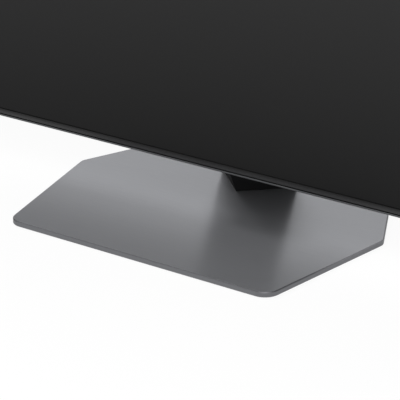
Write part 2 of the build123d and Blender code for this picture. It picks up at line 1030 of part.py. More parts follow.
def make_optical_socket():
    """A square socket behind a closed flap."""
    middle, width, length = mid_sockets()[1]
    half = width / 2
    body = strip(socket_mouth - length, socket_mouth, middle, half, mid_front, mid_back)
    half -= optical_frame
    floor = socket_mouth - optical_recess
    front = mid_front + optical_frame
    return body - strip(floor, socket_mouth + overrun, middle, half, front, mid_back - optical_frame)


def make_aerial_socket():
    """A block with a round collar that stands out into the bay."""
    middle, width, length = mid_sockets()[2]
    start = socket_mouth - length
    half = width / 2
    depth = (mid_front + mid_back) / 2
    low = middle - half
    block = slab(start, bay_left - socket_gap, low, low + width, mid_front, mid_back)
    collar = Cylinder(aerial_radius, aerial_length + length, align=(Align.CENTER, Align.CENTER, Align.MIN))
    collar = chamfer(collar.faces().sort_by(Axis.Z)[-1].edges(), aerial_bore)
    bore = Cylinder(aerial_bore, aerial_bore_depth, align=(Align.CENTER, Align.CENTER, Align.MAX))
    collar -= Pos(0, 0, aerial_length + length) * bore
    place = Pos(start, panel_front + depth, stand_height + middle) * Rot(Y=90)
    return block + place * collar


def make_mains_inlet():
    """A two-pin inlet: a long round mouth with its pins, facing into the power bay."""
    middle = bay_low + power_bay_height * inlet_height_share
    half = inlet_width / 2
    start = inlet_mouth - inlet_length
    depth = (mid_front + mid_back) / 2
    body = strip(start, inlet_mouth, middle, half, mid_front, mid_back)
    mouth_height = mid_back - mid_front - inlet_wall - inlet_wall
    mouth_width = inlet_width - inlet_wall - inlet_wall
    slot = Plane.YZ * SlotOverall(mouth_width, mouth_height, rotation=90)
    floor = start + inlet_back_wall
    place = Pos(floor, panel_front + depth, stand_height + middle)
    body -= push(place * slot, x=inlet_length)
    for offset in (-inlet_pin_spacing / 2, inlet_pin_spacing / 2):
        length = inlet_length - inlet_back_wall - inlet_pin_recess
        pin = Cylinder(inlet_pin_radius, length, align=(Align.CENTER, Align.CENTER, Align.MIN))
        body += place * Pos(0, 0, offset) * Rot(Y=90) * pin
    return mirrored(body)


# Bays in the rear cover
def rounded_slab(left, right, low, high, front, back, radius):
    """A block in the panel with its edges along Y rounded."""
    block = slab(left, right, low, high, front, back)
    return fillet(block.edges().filter_by(Axis.Y), radius)


def bay_tray(left, right, low, high):
    """An open tray with a flange under the cover on the three sides away from the sockets."""
    tray = rounded_slab(left, right, low, high, bay_front, panel_depth, bay_corner_round)
    flange_back = cover_inner - seat_gap
    flange_front = flange_back - bay_flange_thickness
    reach = bay_flange
    tray += slab(left + reach, right + reach, low - reach, high + reach, flange_front, flange_back)
    inner = (left + bay_wall, right - bay_wall, low + bay_wall, high - bay_wall)
    radius = bay_corner_round - bay_wall
    return tray - rounded_slab(*inner, bay_floor, panel_depth + overrun, radius)


def bay_hole(left, right, low, high):
    """The cover's hole for a bay."""
    sides = (left - seat_gap, right + seat_gap, low - seat_gap, high + seat_gap)
    depths = (cover_inner - overrun, panel_depth + overrun)
    return rounded_slab(*sides, *depths, bay_corner_round + seat_gap)


def connector_bay_sides():
    return (bay_left, bay_right, bay_low, bay_high)


def power_bay_sides():
    return (power_bay_left, power_bay_left + power_bay_width, bay_low, bay_low + power_bay_height)


def make_connector_bay():
    tray = bay_tray(*connector_bay_sides())
    left = bay_left - overrun
    right = bay_left + bay_wall + overrun
    gap = socket_gap
    for middle in media_heights():
        half = media_socket_width / 2 + gap
        back = board_back + media_socket_height + gap
        tray -= strip(left, right, middle, half, board_back - gap, back)
    for middle in data_heights():
        half = data_socket_width / 2 + gap
        back = board_back + data_socket_height + gap
        tray -= strip(left, right, middle, half, board_back - gap, back)
    for middle, width in [place[:2] for place in mid_sockets()[:2]]:
        half = width / 2 + gap
        tray -= strip(left, right, middle, half, mid_front - gap, mid_back + gap)
    depth = (mid_front + mid_back) / 2
    hole = Cylinder(aerial_radius + gap, right - left, align=(Align.CENTER, Align.CENTER, Align.MIN))
    middle = mid_sockets()[2][0]
    place = Pos(left, panel_front + depth, stand_height + middle) * Rot(Y=90)
    return tray - place * hole


def make_power_bay():
    tray = bay_tray(*power_bay_sides())
    middle = bay_low + power_bay_height * inlet_height_share
    half = inlet_width / 2 + socket_gap
    left = power_bay_left - overrun
    right = power_bay_left + bay_wall + overrun
    front = mid_front - socket_gap
    tray -= strip(left, right, middle, half, front, mid_back + socket_gap)
    return mirrored(tray)


# Rear cover
def cover_screw_places():
    """A row along the top and the bottom, and one screw at the middle of each side."""
    reach = panel_half - cover_screws_end_inset
    pitch = (reach + reach) / (cover_screw_count - 1)
    low = cover_screw_inset
    high = panel_height - cover_screw_inset
    rows = [(x, height) for x in centred(cover_screw_count, pitch) for height in (low, high)]
    side = panel_half - cover_screw_inset
    return rows + [(-side, panel_height / 2), (side, panel_height / 2)]


def vesa_places():
    half = vesa_spacing / 2
    middle = vesa_middle_height
    return [(x, height) for x in (-half, half) for height in (middle - half, middle + half)]


def slot_cutter(x, height, length, width):
    """An upright slot with round ends through the cover."""
    flat = Plane.XZ * SlotOverall(length, width, rotation=90)
    start = cover_inner - overrun
    place = Pos(x, panel_front + start, stand_height + height)
    return push(place * flat, y=panel_depth + overrun - start)


def vent_cutters():
    cutters = []
    for row in (vent_low_height, vent_top_height):
        for side in (-vent_middle_x, vent_middle_x):
            for offset in centred(vent_count, vent_pitch):
                cutters.append(slot_cutter(side + offset, row, vent_length, vent_width))
    return cutters


def grille_cutters():
    """Slots behind each cone, as long as the circle lets them be."""
    cutters = []
    pitch = 2 * cone_radius / grille_slot_count
    for side in (-speaker_x, speaker_x):
        for offset in centred(grille_slot_count, pitch):
            half = math.sqrt(cone_radius**2 - offset**2)
            cutters.append(slot_cutter(side + offset, speaker_middle, half + half, grille_slot_width))
    return cutters


def neck_ridge(height):
    """Where the neck's front ridge is, at a height above the table."""
    return base_front + neck_ridge_setback - neck_lean_share * (height - base_top)


def head_window():
    """The cover's opening for the head of the neck bracket."""
    low = head_low - head_clearance
    high = head_high + head_clearance
    low_half = head_low_half + head_clearance
    high_half = head_high_half + head_clearance
    points = ((-low_half, low), (low_half, low), (high_half, high), (-high_half, high))
    return wall_prism(points, cover_inner - overrun, panel_depth + overrun)


def make_rear_cover():
    shell = sheet(cover_inset, cover_front, panel_depth)
    shell = fillet(shell.edges().filter_by(Axis.Y), cover_corner_round)
    shell = fillet(shell.faces().sort_by(Axis.Y)[-1].edges(), cover_round)
    hollow = sheet(cover_inset + cover_wall, cover_front - overrun, cover_inner)
    hollow = fillet(hollow.edges().filter_by(Axis.Y), cover_corner_round - cover_wall)
    hollow = fillet(hollow.faces().sort_by(Axis.Y)[-1].edges(), cover_round - cover_wall)
    shell -= hollow
    for share in cover_rib_height_shares:
        middle = panel_height * share
        half = cover_rib_thickness / 2
        reach = panel_half - cover_rib_end_inset
        rib = strip(-reach, reach, middle, half, cover_inner - cover_rib_height, cover_inner)
        shell += rib
    bosses = [
        rod(cover_boss_radius, x, height, trim_flange_front, cover_inner)
        for x, height in cover_screw_places()
    ]
    shell += bosses
    bores = [
        rod(screw_shank_radius + seat_gap, x, height, trim_flange_front - overrun, panel_depth + overrun)
        for x, height in cover_screw_places()
    ]
    sinks = [
        rod(cover_sink_radius, x, height, panel_depth - cover_sink_depth, panel_depth + overrun)
        for x, height in cover_screw_places()
    ]
    mounts = [
        rod(vesa_radius + run_gap, x, height, cover_inner - overrun, panel_depth + overrun)
        for x, height in vesa_places()
    ]
    power_hole = mirrored(bay_hole(*power_bay_sides()))
    shell -= bores + sinks + mounts
    shell -= [bay_hole(*connector_bay_sides()), power_hole, head_window()]
    return shell - vent_cutters() - grille_cutters()


def make_cover_screws():
    screws = []
    seat = panel_depth - cover_sink_depth
    for x, height in cover_screw_places():
        head = rod(screw_head_radius, x, height, seat, seat + screw_head_height)
        shank = rod(screw_shank_radius, x, height, chassis_front - screw_tip, seat)
        screws.append(head + shank)
    return group(*screws)


def make_wall_inserts():
    """Flanged posts between the chassis and the cover, bored from behind."""
    posts = []
    back = panel_depth - vesa_sink
    for x, height in vesa_places():
        flange = rod(vesa_flange_radius, x, height, chassis_back, chassis_back + vesa_flange_thickness)
        insert = flange + rod(vesa_radius, x, height, chassis_back, back)
        posts.append(insert - rod(vesa_bore, x, height, back - vesa_bore_depth, back + overrun))
    return group(*posts)


# Speakers, modelled on the right and mirrored to the left
def speaker_ears():
    """Where the two ears of the box are, beside it at mid height."""
    reach = speaker_width / 2 + speaker_ear / 2
    return [(speaker_x - reach, speaker_middle), (speaker_x + reach, speaker_middle)]


def make_speaker_box():
    half = speaker_width / 2
    sides = (speaker_x - half, speaker_x + half, speaker_bottom, speaker_bottom + speaker_height)
    box = rounded_slab(*sides, speaker_front, speaker_back, speaker_corner_round)
    ear_low = speaker_front + (speaker_back - speaker_front - speaker_ear_thickness) / 2
    ear_high = ear_low + speaker_ear_thickness
    for x, height in speaker_ears():
        box += rod(speaker_ear / 2 + speaker_ear_thickness, x, height, ear_low, ear_high)
    half -= speaker_wall
    inner = (speaker_x - half, speaker_x + half, sides[2] + speaker_wall, sides[-1] - speaker_wall)
    depths = (speaker_front + speaker_wall, speaker_back - speaker_wall)
    box -= rounded_slab(*inner, *depths, speaker_corner_round - speaker_wall)
    for x, height in speaker_ears():
        box -= rod(bush_radius - speaker_ear_thickness, x, height, ear_low - overrun, ear_high + overrun)
    hole = cone_radius + run_gap + surround_width + basket_seat + run_gap
    return box - rod(hole, speaker_x, speaker_middle, depths[1] - overrun, speaker_back + overrun)


def make_speaker_bushes():
    """Rubber sleeves pressed through the ears, waisted where the ear grips."""
    ear_low = speaker_front + (speaker_back - speaker_front - speaker_ear_thickness) / 2
    ear_high = ear_low + speaker_ear_thickness
    low = ear_low - bush_height / 2
    high = ear_high + bush_height / 2
    waist = bush_radius - speaker_ear_thickness - seat_gap
    points = (
        (bush_bore, low),
        (bush_radius, low),
        (bush_radius, ear_low - seat_gap),
        (waist, ear_low - seat_gap),
        (waist, ear_high + seat_gap),
        (bush_radius, ear_high + seat_gap),
        (bush_radius, high),
        (bush_bore, high),
    )
    return group(*[turned(points, x, height) for x, height in speaker_ears()])


def ring_depths():
    """Front and back of the basket's ring, under the rear wall of the box."""
    back = speaker_back - speaker_wall - seat_gap
    return back - basket_sheet, back


def yoke_depths():
    """Front, floor and back of the yoke cup."""
    front = speaker_front + speaker_wall + seat_gap
    cone_under = ring_depths()[1] - cone_rise - cone_sheet
    return front, front + yoke_floor, cone_under - cone_travel - yoke_gap


def make_woofer_frame():
    """A pressed basket: a ring under the box wall, a sloped wall with windows and a seat."""
    ring_front, ring_back = ring_depths()
    seat = yoke_depths()[2]
    ring_inner = cone_radius + run_gap + surround_width
    ring_outer = ring_inner + basket_ring
    foot_inner = yoke_radius - basket_seat
    foot_outer = yoke_radius + basket_seat
    points = (
        (ring_inner, ring_back),
        (ring_inner, ring_front),
        (foot_outer - basket_sheet, seat + basket_sheet),
        (foot_inner, seat + basket_sheet),
        (foot_inner, seat),
        (foot_outer, seat),
        (ring_inner + basket_sheet, ring_front),
        (ring_outer, ring_front),
        (ring_outer, ring_back),
    )
    basket = turned(points, speaker_x, speaker_middle)
    turn = 360 / basket_window_count
    middle = (foot_outer + ring_inner) / 2
    width = (ring_inner - foot_outer) * basket_window_share
    place = Pos(speaker_x, panel_front + seat - overrun, stand_height + speaker_middle)
    for index in range(basket_window_count):
        arc = CenterArc((0, 0), middle, turn * index, turn * basket_window_share)
        slot = Plane.XZ * SlotArc(arc, width)
        basket -= push(place * slot, y=ring_back - seat + overrun)
    return basket


def make_woofer_magnet():
    """The yoke cup, and the magnet with its pole standing on the cup's floor."""
    front, floor, back = yoke_depths()
    cup = rod(yoke_radius, speaker_x, speaker_middle, front, back)
    cup -= rod(yoke_radius - yoke_wall, speaker_x, speaker_middle, floor, back + overrun)
    pole = rod(pole_radius, speaker_x, speaker_middle, floor, floor + pole_height - yoke_floor)
    return group(cup, pole)


def make_woofer_cone():
    """The cone with its dome and voice coil, in one moving piece."""
    rim = ring_depths()[1]
    neck = rim - cone_rise
    coil_outer = coil_radius + coil_wall
    tip = neck - coil_length
    points = (
        (coil_radius, tip),
        (coil_outer, tip),
        (coil_outer, neck - cone_sheet),
        (cone_radius, rim - cone_sheet),
        (cone_radius, rim),
        (coil_outer, neck),
        (coil_radius, neck),
    )
    body = turned(points, speaker_x, speaker_middle)
    dome_out = ThreePointArc((-coil_radius, neck), (0, neck + dome_rise), (coil_radius, neck))
    low = neck - cone_sheet
    dome_in = ThreePointArc((coil_radius, low), (0, low + dome_rise), (-coil_radius, low))
    ends = [Line(dome_out @ 1, dome_in @ 0), Line(dome_in @ 1, dome_out @ 0)]
    half_plane = Rectangle(coil_radius, speaker_back, align=(Align.MIN, Align.MIN))
    half_dome = make_face([dome_out, dome_in, *ends]) & half_plane
    dome = Pos(speaker_x, panel_front, stand_height + speaker_middle) * revolve(half_dome, Axis.Y)
    return body + dome


def make_woofer_surround():
    """The rolled edge between the cone and the basket's ring."""
    seat = ring_depths()[1]
    inner = cone_radius + run_gap
    outer = inner + surround_width
    middle = (inner + outer) / 2
    under = ThreePointArc((inner, seat), (middle, seat + surround_roll), (outer, seat))
    top = seat + surround_sheet
    over = ThreePointArc((inner, top), (middle, top + surround_roll), (outer, top))
    rest = Polyline((outer, seat), (outer + basket_seat, seat), (outer + basket_seat, top), (outer, top))
    end = Line((inner, seat), (inner, top))
    roll = revolve(make_face([under, over, rest, end]), Axis.Y)
    return Pos(speaker_x, panel_front, stand_height + speaker_middle) * roll


# Control housing
def housing_profile(inset):
    """Depth and height of the housing's outline, stepped up behind the trim."""
    front = sensor_front + inset
    back = sensor_back - inset
    low = inset - sensor_drop
    step = cover_front + inset
    top = inset + overrun if inset else -seat_gap
    high = top if inset else cover_inset - seat_gap
    return ((front, low), (back, low), (back, high), (step, high), (step, top), (front, top))


def make_sensor_housing():
    half = sensor_width / 2
    body = cross_prism(housing_profile(0), sensor_x - half, sensor_x + half)
    lower = body.edges().filter_by(Axis.X).sort_by(Axis.Z)[:2]
    body = fillet(lower, min(sensor_round, sensor_wall))
    low = sensor_wall - sensor_drop
    inner = half - sensor_wall
    depths = (sensor_front + sensor_wall, sensor_back - sensor_wall)
    body -= slab(sensor_x - inner, sensor_x + inner, low, cover_inset + overrun, *depths)
    for x, depth in post_places():
        top = -sensor_board_drop
        y = panel_front + depth
        body += post(post_radius, x, y, stand_height + low, stand_height + top)
    middle = window_middle()
    wide = window_width / 2
    tall = window_height / 2
    mouth = (sensor_x - wide, sensor_x + wide, middle - tall, middle + tall)
    body -= slab(*mouth, sensor_front - overrun, sensor_front + sensor_wall + seat_gap)
    button_x = sensor_x + button_offset
    body -= floor_hole(button_x, button_width / 2, button_reach / 2)
    mic_x = sensor_x + mic_offset
    return body - floor_hole(mic_x, (mic_width + mic_travel) / 2, mic_reach / 2)


def floor_hole(x, half_width, half_reach):
    """A hole through the housing's floor, with running room round it."""
    middle = (sensor_front + sensor_back) / 2
    wide = half_width + run_gap
    deep = half_reach + run_gap
    low = -sensor_drop - overrun
    high = sensor_wall - sensor_drop + seat_gap
    return slab(x - wide, x + wide, low, high, middle - deep, middle + deep)


def window_middle():
    return -seat_gap - (sensor_drop - seat_gap) / 2


def post_places():
    half = sensor_width / 2 - sensor_wall - post_inset
    front = sensor_front + sensor_wall + post_inset
    back = sensor_back - sensor_wall - post_inset
    return [(sensor_x + x, depth) for x in (-half, half) for depth in (front, back)]


def make_sensor_window():
    """A smoked window that fills its hole, with a lip behind the wall."""
    middle = window_middle()
    wide = window_width / 2 - seat_gap
    tall = window_height / 2 - seat_gap
    back = sensor_front + sensor_wall + seat_gap
    face = pad(sensor_x, middle, wide, tall, sensor_front + seat_gap, back)
    wide += window_lip + seat_gap
    lip = pad(sensor_x, middle, wide, tall, back, back + window_lip)
    return face + lip


def make_sensor_board():
    """A small board on the posts, with the button's switch under it."""
    half = sensor_width / 2 - sensor_wall - sensor_board_margin
    low = -sensor_board_drop
    high = low + sensor_board_thickness
    front = sensor_front + sensor_wall + sensor_board_margin
    back = sensor_back - sensor_wall - sensor_board_margin
    plate = slab(sensor_x - half, sensor_x + half, low, high, front, back)
    x = sensor_x + button_offset
    middle = (sensor_front + sensor_back) / 2
    reach = switch_size / 2
    switch = slab(x - reach, x + reach, low - switch_height, low, middle - reach, middle + reach)
    y = panel_front + middle
    tip = stand_height + button_flange_top() + button_travel + switch_plunger_gap
    plunger = post(switch_plunger, x, y, tip, stand_height + low)
    return plate + switch + plunger


def button_flange_top():
    return sensor_wall - sensor_drop + seat_gap + button_flange_height


def floor_button(x, width, reach, stand_out, flange_x, flange_y):
    """A cap through the housing's floor with a flange above it."""
    middle = (sensor_front + sensor_back) / 2
    wide = width / 2
    deep = reach / 2
    top = button_flange_top()
    low = -sensor_drop - stand_out
    cap = slab(x - wide, x + wide, low, top, middle - deep, middle + deep)
    cap = fillet(cap.faces().sort_by(Axis.Z)[0].edges(), stand_out * round_share)
    wide += flange_x
    deep += flange_y
    return cap + slab(x - wide, x + wide, top - button_flange_height, top, middle - deep, middle + deep)


def make_control_button():
    x = sensor_x + button_offset
    return floor_button(x, button_width, button_reach, button_stand_out, button_flange, button_flange)


def make_microphone_switch():
    x = sensor_x + mic_offset - mic_travel / 2
    reach = mic_travel + mic_flange
    return floor_button(x, mic_width, mic_reach, mic_stand_out, reach, mic_flange)


# Stand
def base_corners():
    wide = base_wide_width / 2
    front = base_front_width / 2
    rear = base_rear_width / 2
    widest = base_front + base_front_depth
    back = base_front + base_depth
    right = ((front, base_front), (wide, widest), (rear, back))
    left = ((-rear, back), (-wide, widest), (-front, base_front))
    return right + left


def foot_places():
    return [(x * foot_place_share, y * foot_place_share) for x, y in base_corners()]


def foot_screw_places():
    ridge = neck_ridge(base_top)
    rear = [(side * foot_screw_wide, ridge + foot_screw_rear) for side in (-1, 1)]
    return rear + [(side * foot_screw_narrow, ridge + foot_screw_front) for side in (-1, 1)]


def make_base_plate():
    flat = outline(*base_corners())
    sides = flat.vertices().sort_by(Axis.X)
    flat = fillet([sides[0], sides[-1]], base_side_radius)
    middle_line = base_front + base_front_depth
    ends = [corner for corner in flat.vertices() if abs(corner.Y - middle_line) > base_side_radius]
    flat = fillet(ends, base_corner_radius)
    plate = Pos(0, 0, foot_height) * push(flat, z=base_thickness)
    plate = chamfer(plate.faces().sort_by(Axis.Z)[-1].edges(), base_edge_round)
    for x, y in foot_places():
        plate -= post(foot_radius + seat_gap, x, y, foot_height - overrun, foot_height + foot_sink)
    for x, y in foot_screw_places():
        seat = foot_height + stand_screw_recess + stand_screw_head_height
        plate -= post(stand_screw_head + run_gap, x, y, foot_height - overrun, seat)
        plate -= post(stand_screw_radius + run_gap, x, y, foot_height, base_top + overrun)
    return plate


def make_base_feet():
    feet = []
    for x, y in foot_places():
        foot = post(foot_radius, x, y, 0, foot_height + foot_sink)
        feet.append(chamfer(foot.faces().sort_by(Axis.Z)[0].edges(), foot_height * round_share))
    return group(*feet)


def make_base_screws():
    screws = []
    seat = foot_height + stand_screw_recess + stand_screw_head_height
    tip = base_top + foot_flange_thickness - stand_screw_tip_gap - seat_gap
    for x, y in foot_screw_places():
        head = post(stand_screw_head, x, y, foot_height + stand_screw_recess, seat)
        screws.append(head + post(stand_screw_radius, x, y, seat, tip))
    return group(*screws)


def neck_plan(wall, rear):
    """The neck's plan with its walls moved inwards: x, and the distance behind the ridge."""
    slope = neck_taper_depth / neck_half_width
    half = neck_half_width - wall
    nose = wall * math.hypot(neck_half_width, neck_taper_depth) / neck_half_width
    shoulder = nose + half * slope
    return ((0, nose), (half, shoulder), (half, rear), (-half, rear), (-half, shoulder))


def leaning(plan, low, high):
    """A prism that leans forward with the neck, from a plan behind the ridge."""
    rise = high - low
    return push(Pos(0, neck_ridge(low), low) * plan, y=-neck_lean_share * rise, z=rise)


def leaning_block(half, front, back, low, high):
    """A leaning block, its front and back counted behind the ridge."""
    return leaning(outline((-half, front), (half, front), (half, back), (-half, back)), low, high)


def behind_panel(shape):
    """What is left of a shape behind the panel, clear of it by a seating gap."""
    low = (-neck_half_width - overrun, neck_ridge(neck_top) - overrun, base_top)
    high = (neck_half_width + overrun, panel_back + seat_gap, neck_top + overrun)
    return shape - span(low, high)


def make_neck_front_cover():
    plan = outline(*neck_plan(0, neck_depth))
    plan = fillet(plan.vertices().sort_by(Axis.Y)[0], neck_ridge_round)
    shoulders = [corner for corner in plan.vertices() if abs(corner.Y - neck_taper_depth) < neck_ridge_round]
    plan = fillet(shoulders, neck_shoulder_round)
    outer = leaning(plan, neck_foot, neck_top)
    inner_plan = outline(*neck_plan(neck_shell, neck_depth + overrun))
    inner = leaning(inner_plan, neck_foot - overrun, neck_top + overrun)
    return behind_panel(outer - inner)


def make_neck_rear_cover():
    half = neck_half_width - neck_shell - seat_gap
    plate = leaning_block(half, neck_depth - neck_back_thickness, neck_depth, neck_foot, neck_top)
    return behind_panel(plate)


def spine_front():
    """How far the spine's face is behind the ridge."""
    return neck_depth - neck_back_thickness - spine_gap - spine_thickness


def head_screw_places():
    high = head_high - head_screw_high_drop
    low = head_low + head_screw_low_rise
    upper = [(side * head_screw_wide, high) for side in (-1, 1)]
    return upper + [(side * head_screw_narrow, low) for side in (-1, 1)]


def make_neck_bracket():
    """A foot flange, a leaning spine, a web in front of it and a head flange on the panel."""
    ridge = neck_ridge(base_top)
    foot_top = base_top + foot_flange_thickness
    foot_points = (
        (-foot_flange_front_half, foot_flange_front),
        (foot_flange_front_half, foot_flange_front),
        (foot_flange_rear_half, foot_flange_rear),
        (-foot_flange_rear_half, foot_flange_rear),
    )
    foot = push(Pos(0, ridge, base_top) * outline(*foot_points), z=foot_flange_thickness)
    front = spine_front()
    spine = leaning_block(spine_half_width, front, front + spine_thickness, base_top, head_high)
    head_points = (
        (-head_low_half, head_low),
        (head_low_half, head_low),
        (head_high_half, head_high),
        (-head_high_half, head_high),
    )
    head = wall_prism(head_points, receiver_back, head_back)
    face = panel_front + head_back
    web_points = (
        (neck_ridge(foot_top) + web_front, foot_top),
        (face, head_low + web_head_rise),
        (face, head_high),
        (neck_ridge(head_high) + front, head_high),
        (neck_ridge(foot_top) + front, foot_top),
    )
    web = push(Pos(-web_half, 0, 0) * (Plane.YZ * outline(*web_points)), x=web_half + web_half)
    cap_back = neck_ridge(head_high) + front + spine_thickness / 2
    cap_low = head_high - head_flange_thickness
    cap = span((-spine_half_width, face, cap_low), (spine_half_width, cap_back, head_high))
    bracket = foot + spine + head + web + cap
    bore = stand_screw_radius + stand_screw_gap
    for x, y in foot_screw_places():
        bracket -= post(bore, x, y, base_top - overrun, foot_top - stand_screw_tip_gap)
    for x, height in head_screw_places():
        bracket -= rod(bore, x, height - stand_height, receiver_back - overrun, head_back + seat_gap)
    return bracket


def make_stand_receiver():
    """A steel plate on the chassis that takes the head screws."""
    low = head_low - receiver_margin - stand_height
    high = head_high + receiver_margin - stand_height
    sides = (-receiver_half_width, receiver_half_width, low, high)
    plate = rounded_slab(*sides, chassis_back, receiver_back, receiver_round)
    bore = stand_screw_radius + stand_screw_gap
    for x, height in head_screw_places():
        plate -= rod(bore, x, height - stand_height, chassis_back - overrun, receiver_back + overrun)
    return plate


def make_head_screws():
    screws = []
    for x, height in head_screw_places():
        place = (x, height - stand_height)
        head = rod(stand_screw_head, *place, head_back, head_back + stand_screw_head_height)
        screws.append(head + rod(stand_screw_radius, *place, chassis_back + seat_gap, head_back))
    return group(*screws)


# Every node of the television
nodes = {
    "lcd_cell": make_lcd_cell(),
    "front_bezel": make_front_bezel(),
    "outer_trim": make_outer_trim(),
    "middle_frame": make_middle_frame(),
    "prism_sheet": sheet(chassis_inset, prism_front, quantum_front),
    "quantum_dot_sheet": sheet(chassis_inset, quantum_front, diffuser_front),
    "diffuser_plate": sheet(chassis_inset, diffuser_front, diffuser_back),
    "reflector_sheet": make_reflector_sheet(),
    "led_boards": make_led_boards(),
    "led_lights": make_led_lights(),
    "back_chassis": make_back_chassis(),
    "source_boards": make_source_boards(),
    "timing_board": make_timing_board(),
    "panel_ribbons": make_panel_ribbons(),
    "main_board": make_main_board(),
    "main_heatsink": make_main_heatsink(),
    "media_sockets": make_media_sockets(),
    "data_sockets": make_data_sockets(),
    "network_socket": make_network_socket(),
    "optical_socket": make_optical_socket(),
    "aerial_socket": make_aerial_socket(),
    "power_board": make_power_board(),
    "transformers": make_transformers(),
    "capacitors": make_capacitors(),
    "inductors": make_inductors(),
    "mains_inlet": make_mains_inlet(),
    "power_harness": make_harness(),
    "led_driver_board": make_driver_board(),
    "radio_board": make_radio_board(),
    "board_screws": make_board_screws(),
    "rear_cover": make_rear_cover(),
    "connector_bay": make_connector_bay(),
    "power_bay": make_power_bay(),
    "cover_screws": make_cover_screws(),
    "wall_inserts": make_wall_inserts(),
    "stand_receiver": make_stand_receiver(),
    "sensor_housing": make_sensor_housing(),
    "sensor_window": make_sensor_window(),
    "sensor_board": make_sensor_board(),
    "control_button": make_control_button(),
    "microphone_switch": make_microphone_switch(),
    "base_plate": make_base_plate(),
    "base_feet": make_base_feet(),
    "base_screws": make_base_screws(),
    "neck_bracket": make_neck_bracket(),
    "neck_front_cover": make_neck_front_cover(),
    "neck_rear_cover": make_neck_rear_cover(),
    "head_screws": make_head_screws(),
}

speaker_pieces = {
    "speaker_box": make_speaker_box(),
    "speaker_bushes": make_speaker_bushes(),
    "woofer_frame": make_woofer_frame(),
    "woofer_magnet": make_woofer_magnet(),
    "woofer_cone": make_woofer_cone(),
    "woofer_surround": make_woofer_surround(),
}
for name, piece in speaker_pieces.items():
    nodes["right_" + name] = piece
    nodes["left_" + name] = mirrored(piece)

os.makedirs("parts", exist_ok=True)
for name, piece in nodes.items():
    export_step(group(piece), "parts/" + name + ".step")
    print(name, len(piece.solids()), round(piece.volume / 1000, 2), "cm3")
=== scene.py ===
import json
import math
import random
from typing import NamedTuple

import bmesh
import bpy
from bpy.props import FloatProperty, FloatVectorProperty, PointerProperty
from mathutils import Matrix, Vector

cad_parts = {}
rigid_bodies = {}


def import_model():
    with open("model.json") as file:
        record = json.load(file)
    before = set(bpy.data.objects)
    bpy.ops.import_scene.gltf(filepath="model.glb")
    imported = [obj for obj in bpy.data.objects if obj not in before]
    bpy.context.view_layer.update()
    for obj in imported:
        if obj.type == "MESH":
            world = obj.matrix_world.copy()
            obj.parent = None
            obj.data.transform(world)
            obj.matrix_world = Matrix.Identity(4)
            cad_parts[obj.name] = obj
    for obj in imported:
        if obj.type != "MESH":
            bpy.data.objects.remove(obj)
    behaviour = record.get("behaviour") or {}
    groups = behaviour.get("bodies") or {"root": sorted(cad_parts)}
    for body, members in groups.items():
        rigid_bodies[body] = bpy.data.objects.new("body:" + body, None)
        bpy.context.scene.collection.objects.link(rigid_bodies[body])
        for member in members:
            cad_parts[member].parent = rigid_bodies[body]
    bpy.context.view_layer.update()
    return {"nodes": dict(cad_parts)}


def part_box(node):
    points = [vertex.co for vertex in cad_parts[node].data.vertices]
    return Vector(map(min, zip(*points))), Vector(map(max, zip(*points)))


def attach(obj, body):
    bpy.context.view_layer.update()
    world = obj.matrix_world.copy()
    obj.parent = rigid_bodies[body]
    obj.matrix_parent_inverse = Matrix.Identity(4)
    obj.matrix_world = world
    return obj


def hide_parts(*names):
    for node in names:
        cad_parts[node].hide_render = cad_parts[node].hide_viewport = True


bl_info = {
    "name": "Flat television finishes",
    "version": (1, 0, 0),
    "blender": (4, 5, 0),
    "location": "View3D > Sidebar > Television",
    "description": "Gives a flat television on a plate stand its finishes, screws and small parts",
    "category": "Object",
}

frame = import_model()

# Turns of a shape that is built with its top up, so that the top faces that way
FACING_BACK = Matrix.Rotation(math.radians(-90), 4, "X")
FACING_FRONT = Matrix.Rotation(math.radians(90), 4, "X")
FACING_DOWN = Matrix.Rotation(math.radians(180), 4, "X")

WHITE = (1, 1, 1, 1)
WAVE_TURNS = 20  # the wave texture has this many radians for each unit of its scaled place
SHARP_FROM = math.radians(35)
WELD_DISTANCE = 0.000001
MIX_FACTOR, MIX_FIRST, MIX_SECOND, MIX_RESULT = 0, 6, 7, 2  # sockets of a colour mix

# The stage: each light's name, its power setting, its place and its width
LIGHTS = (
    ("key_light", "key_power", (0.9, -2.6, 2.7), 2.4),
    ("fill_light", "fill_power", (2.6, 1.7, 1.5), 1.8),
    ("top_light", "top_power", (-1.75, 0.1, 3.0), 2.7),
)
LIGHTS_AIM = (0, 0, 0.25)
FLOOR_REACH = 9
SENSOR_WIDTH = 36
NEAREST_SEEN, FURTHEST_SEEN = 0.05, 60

# Colours of the finishes beside those in the settings. A cloud is the tone of soft spots.
# A painted reflection: the lighter tone that the glass takes on towards its upper part
SCREEN_PAINTED_REFLECTION = (0.0255, 0.0256, 0.0258)
FRAME_PLASTIC = (0.012, 0.012, 0.012)
PRISM_FILM = (0.86, 0.87, 0.88)
PRISM_CLOUD = (0.80, 0.82, 0.85)
DOT_FILM = (0.82, 0.86, 0.55)
DOT_SPECK = (0.86, 0.86, 0.66)
ACRYLIC = (0.90, 0.91, 0.92)
ACRYLIC_CLOUD = (0.86, 0.87, 0.89)
FOAM = (0.93, 0.93, 0.92)
FOAM_CLOUD = (0.88, 0.88, 0.87)
WHITE_MASK = (0.82, 0.82, 0.80)
WHITE_TRACK = (0.74, 0.74, 0.71)
SILICONE = (0.93, 0.86, 0.55)
SILICONE_CLOUD = (0.95, 0.90, 0.66)
POWDER_COAT = (0.018, 0.018, 0.019)
POWDER_WORN = (0.10, 0.10, 0.10)
CUT_STEEL = (0.62, 0.62, 0.62)
ZINC = (0.60, 0.60, 0.58)
SOLDER = (0.75, 0.62, 0.3)
RIBBON = (0.72, 0.70, 0.64)
RIBBON_WIRE = (0.42, 0.38, 0.28)
ALUMINIUM = (0.62, 0.63, 0.65)
SLEEVE = (0.012, 0.018, 0.05)
SLEEVE_STRIPE = (0.5, 0.5, 0.5)
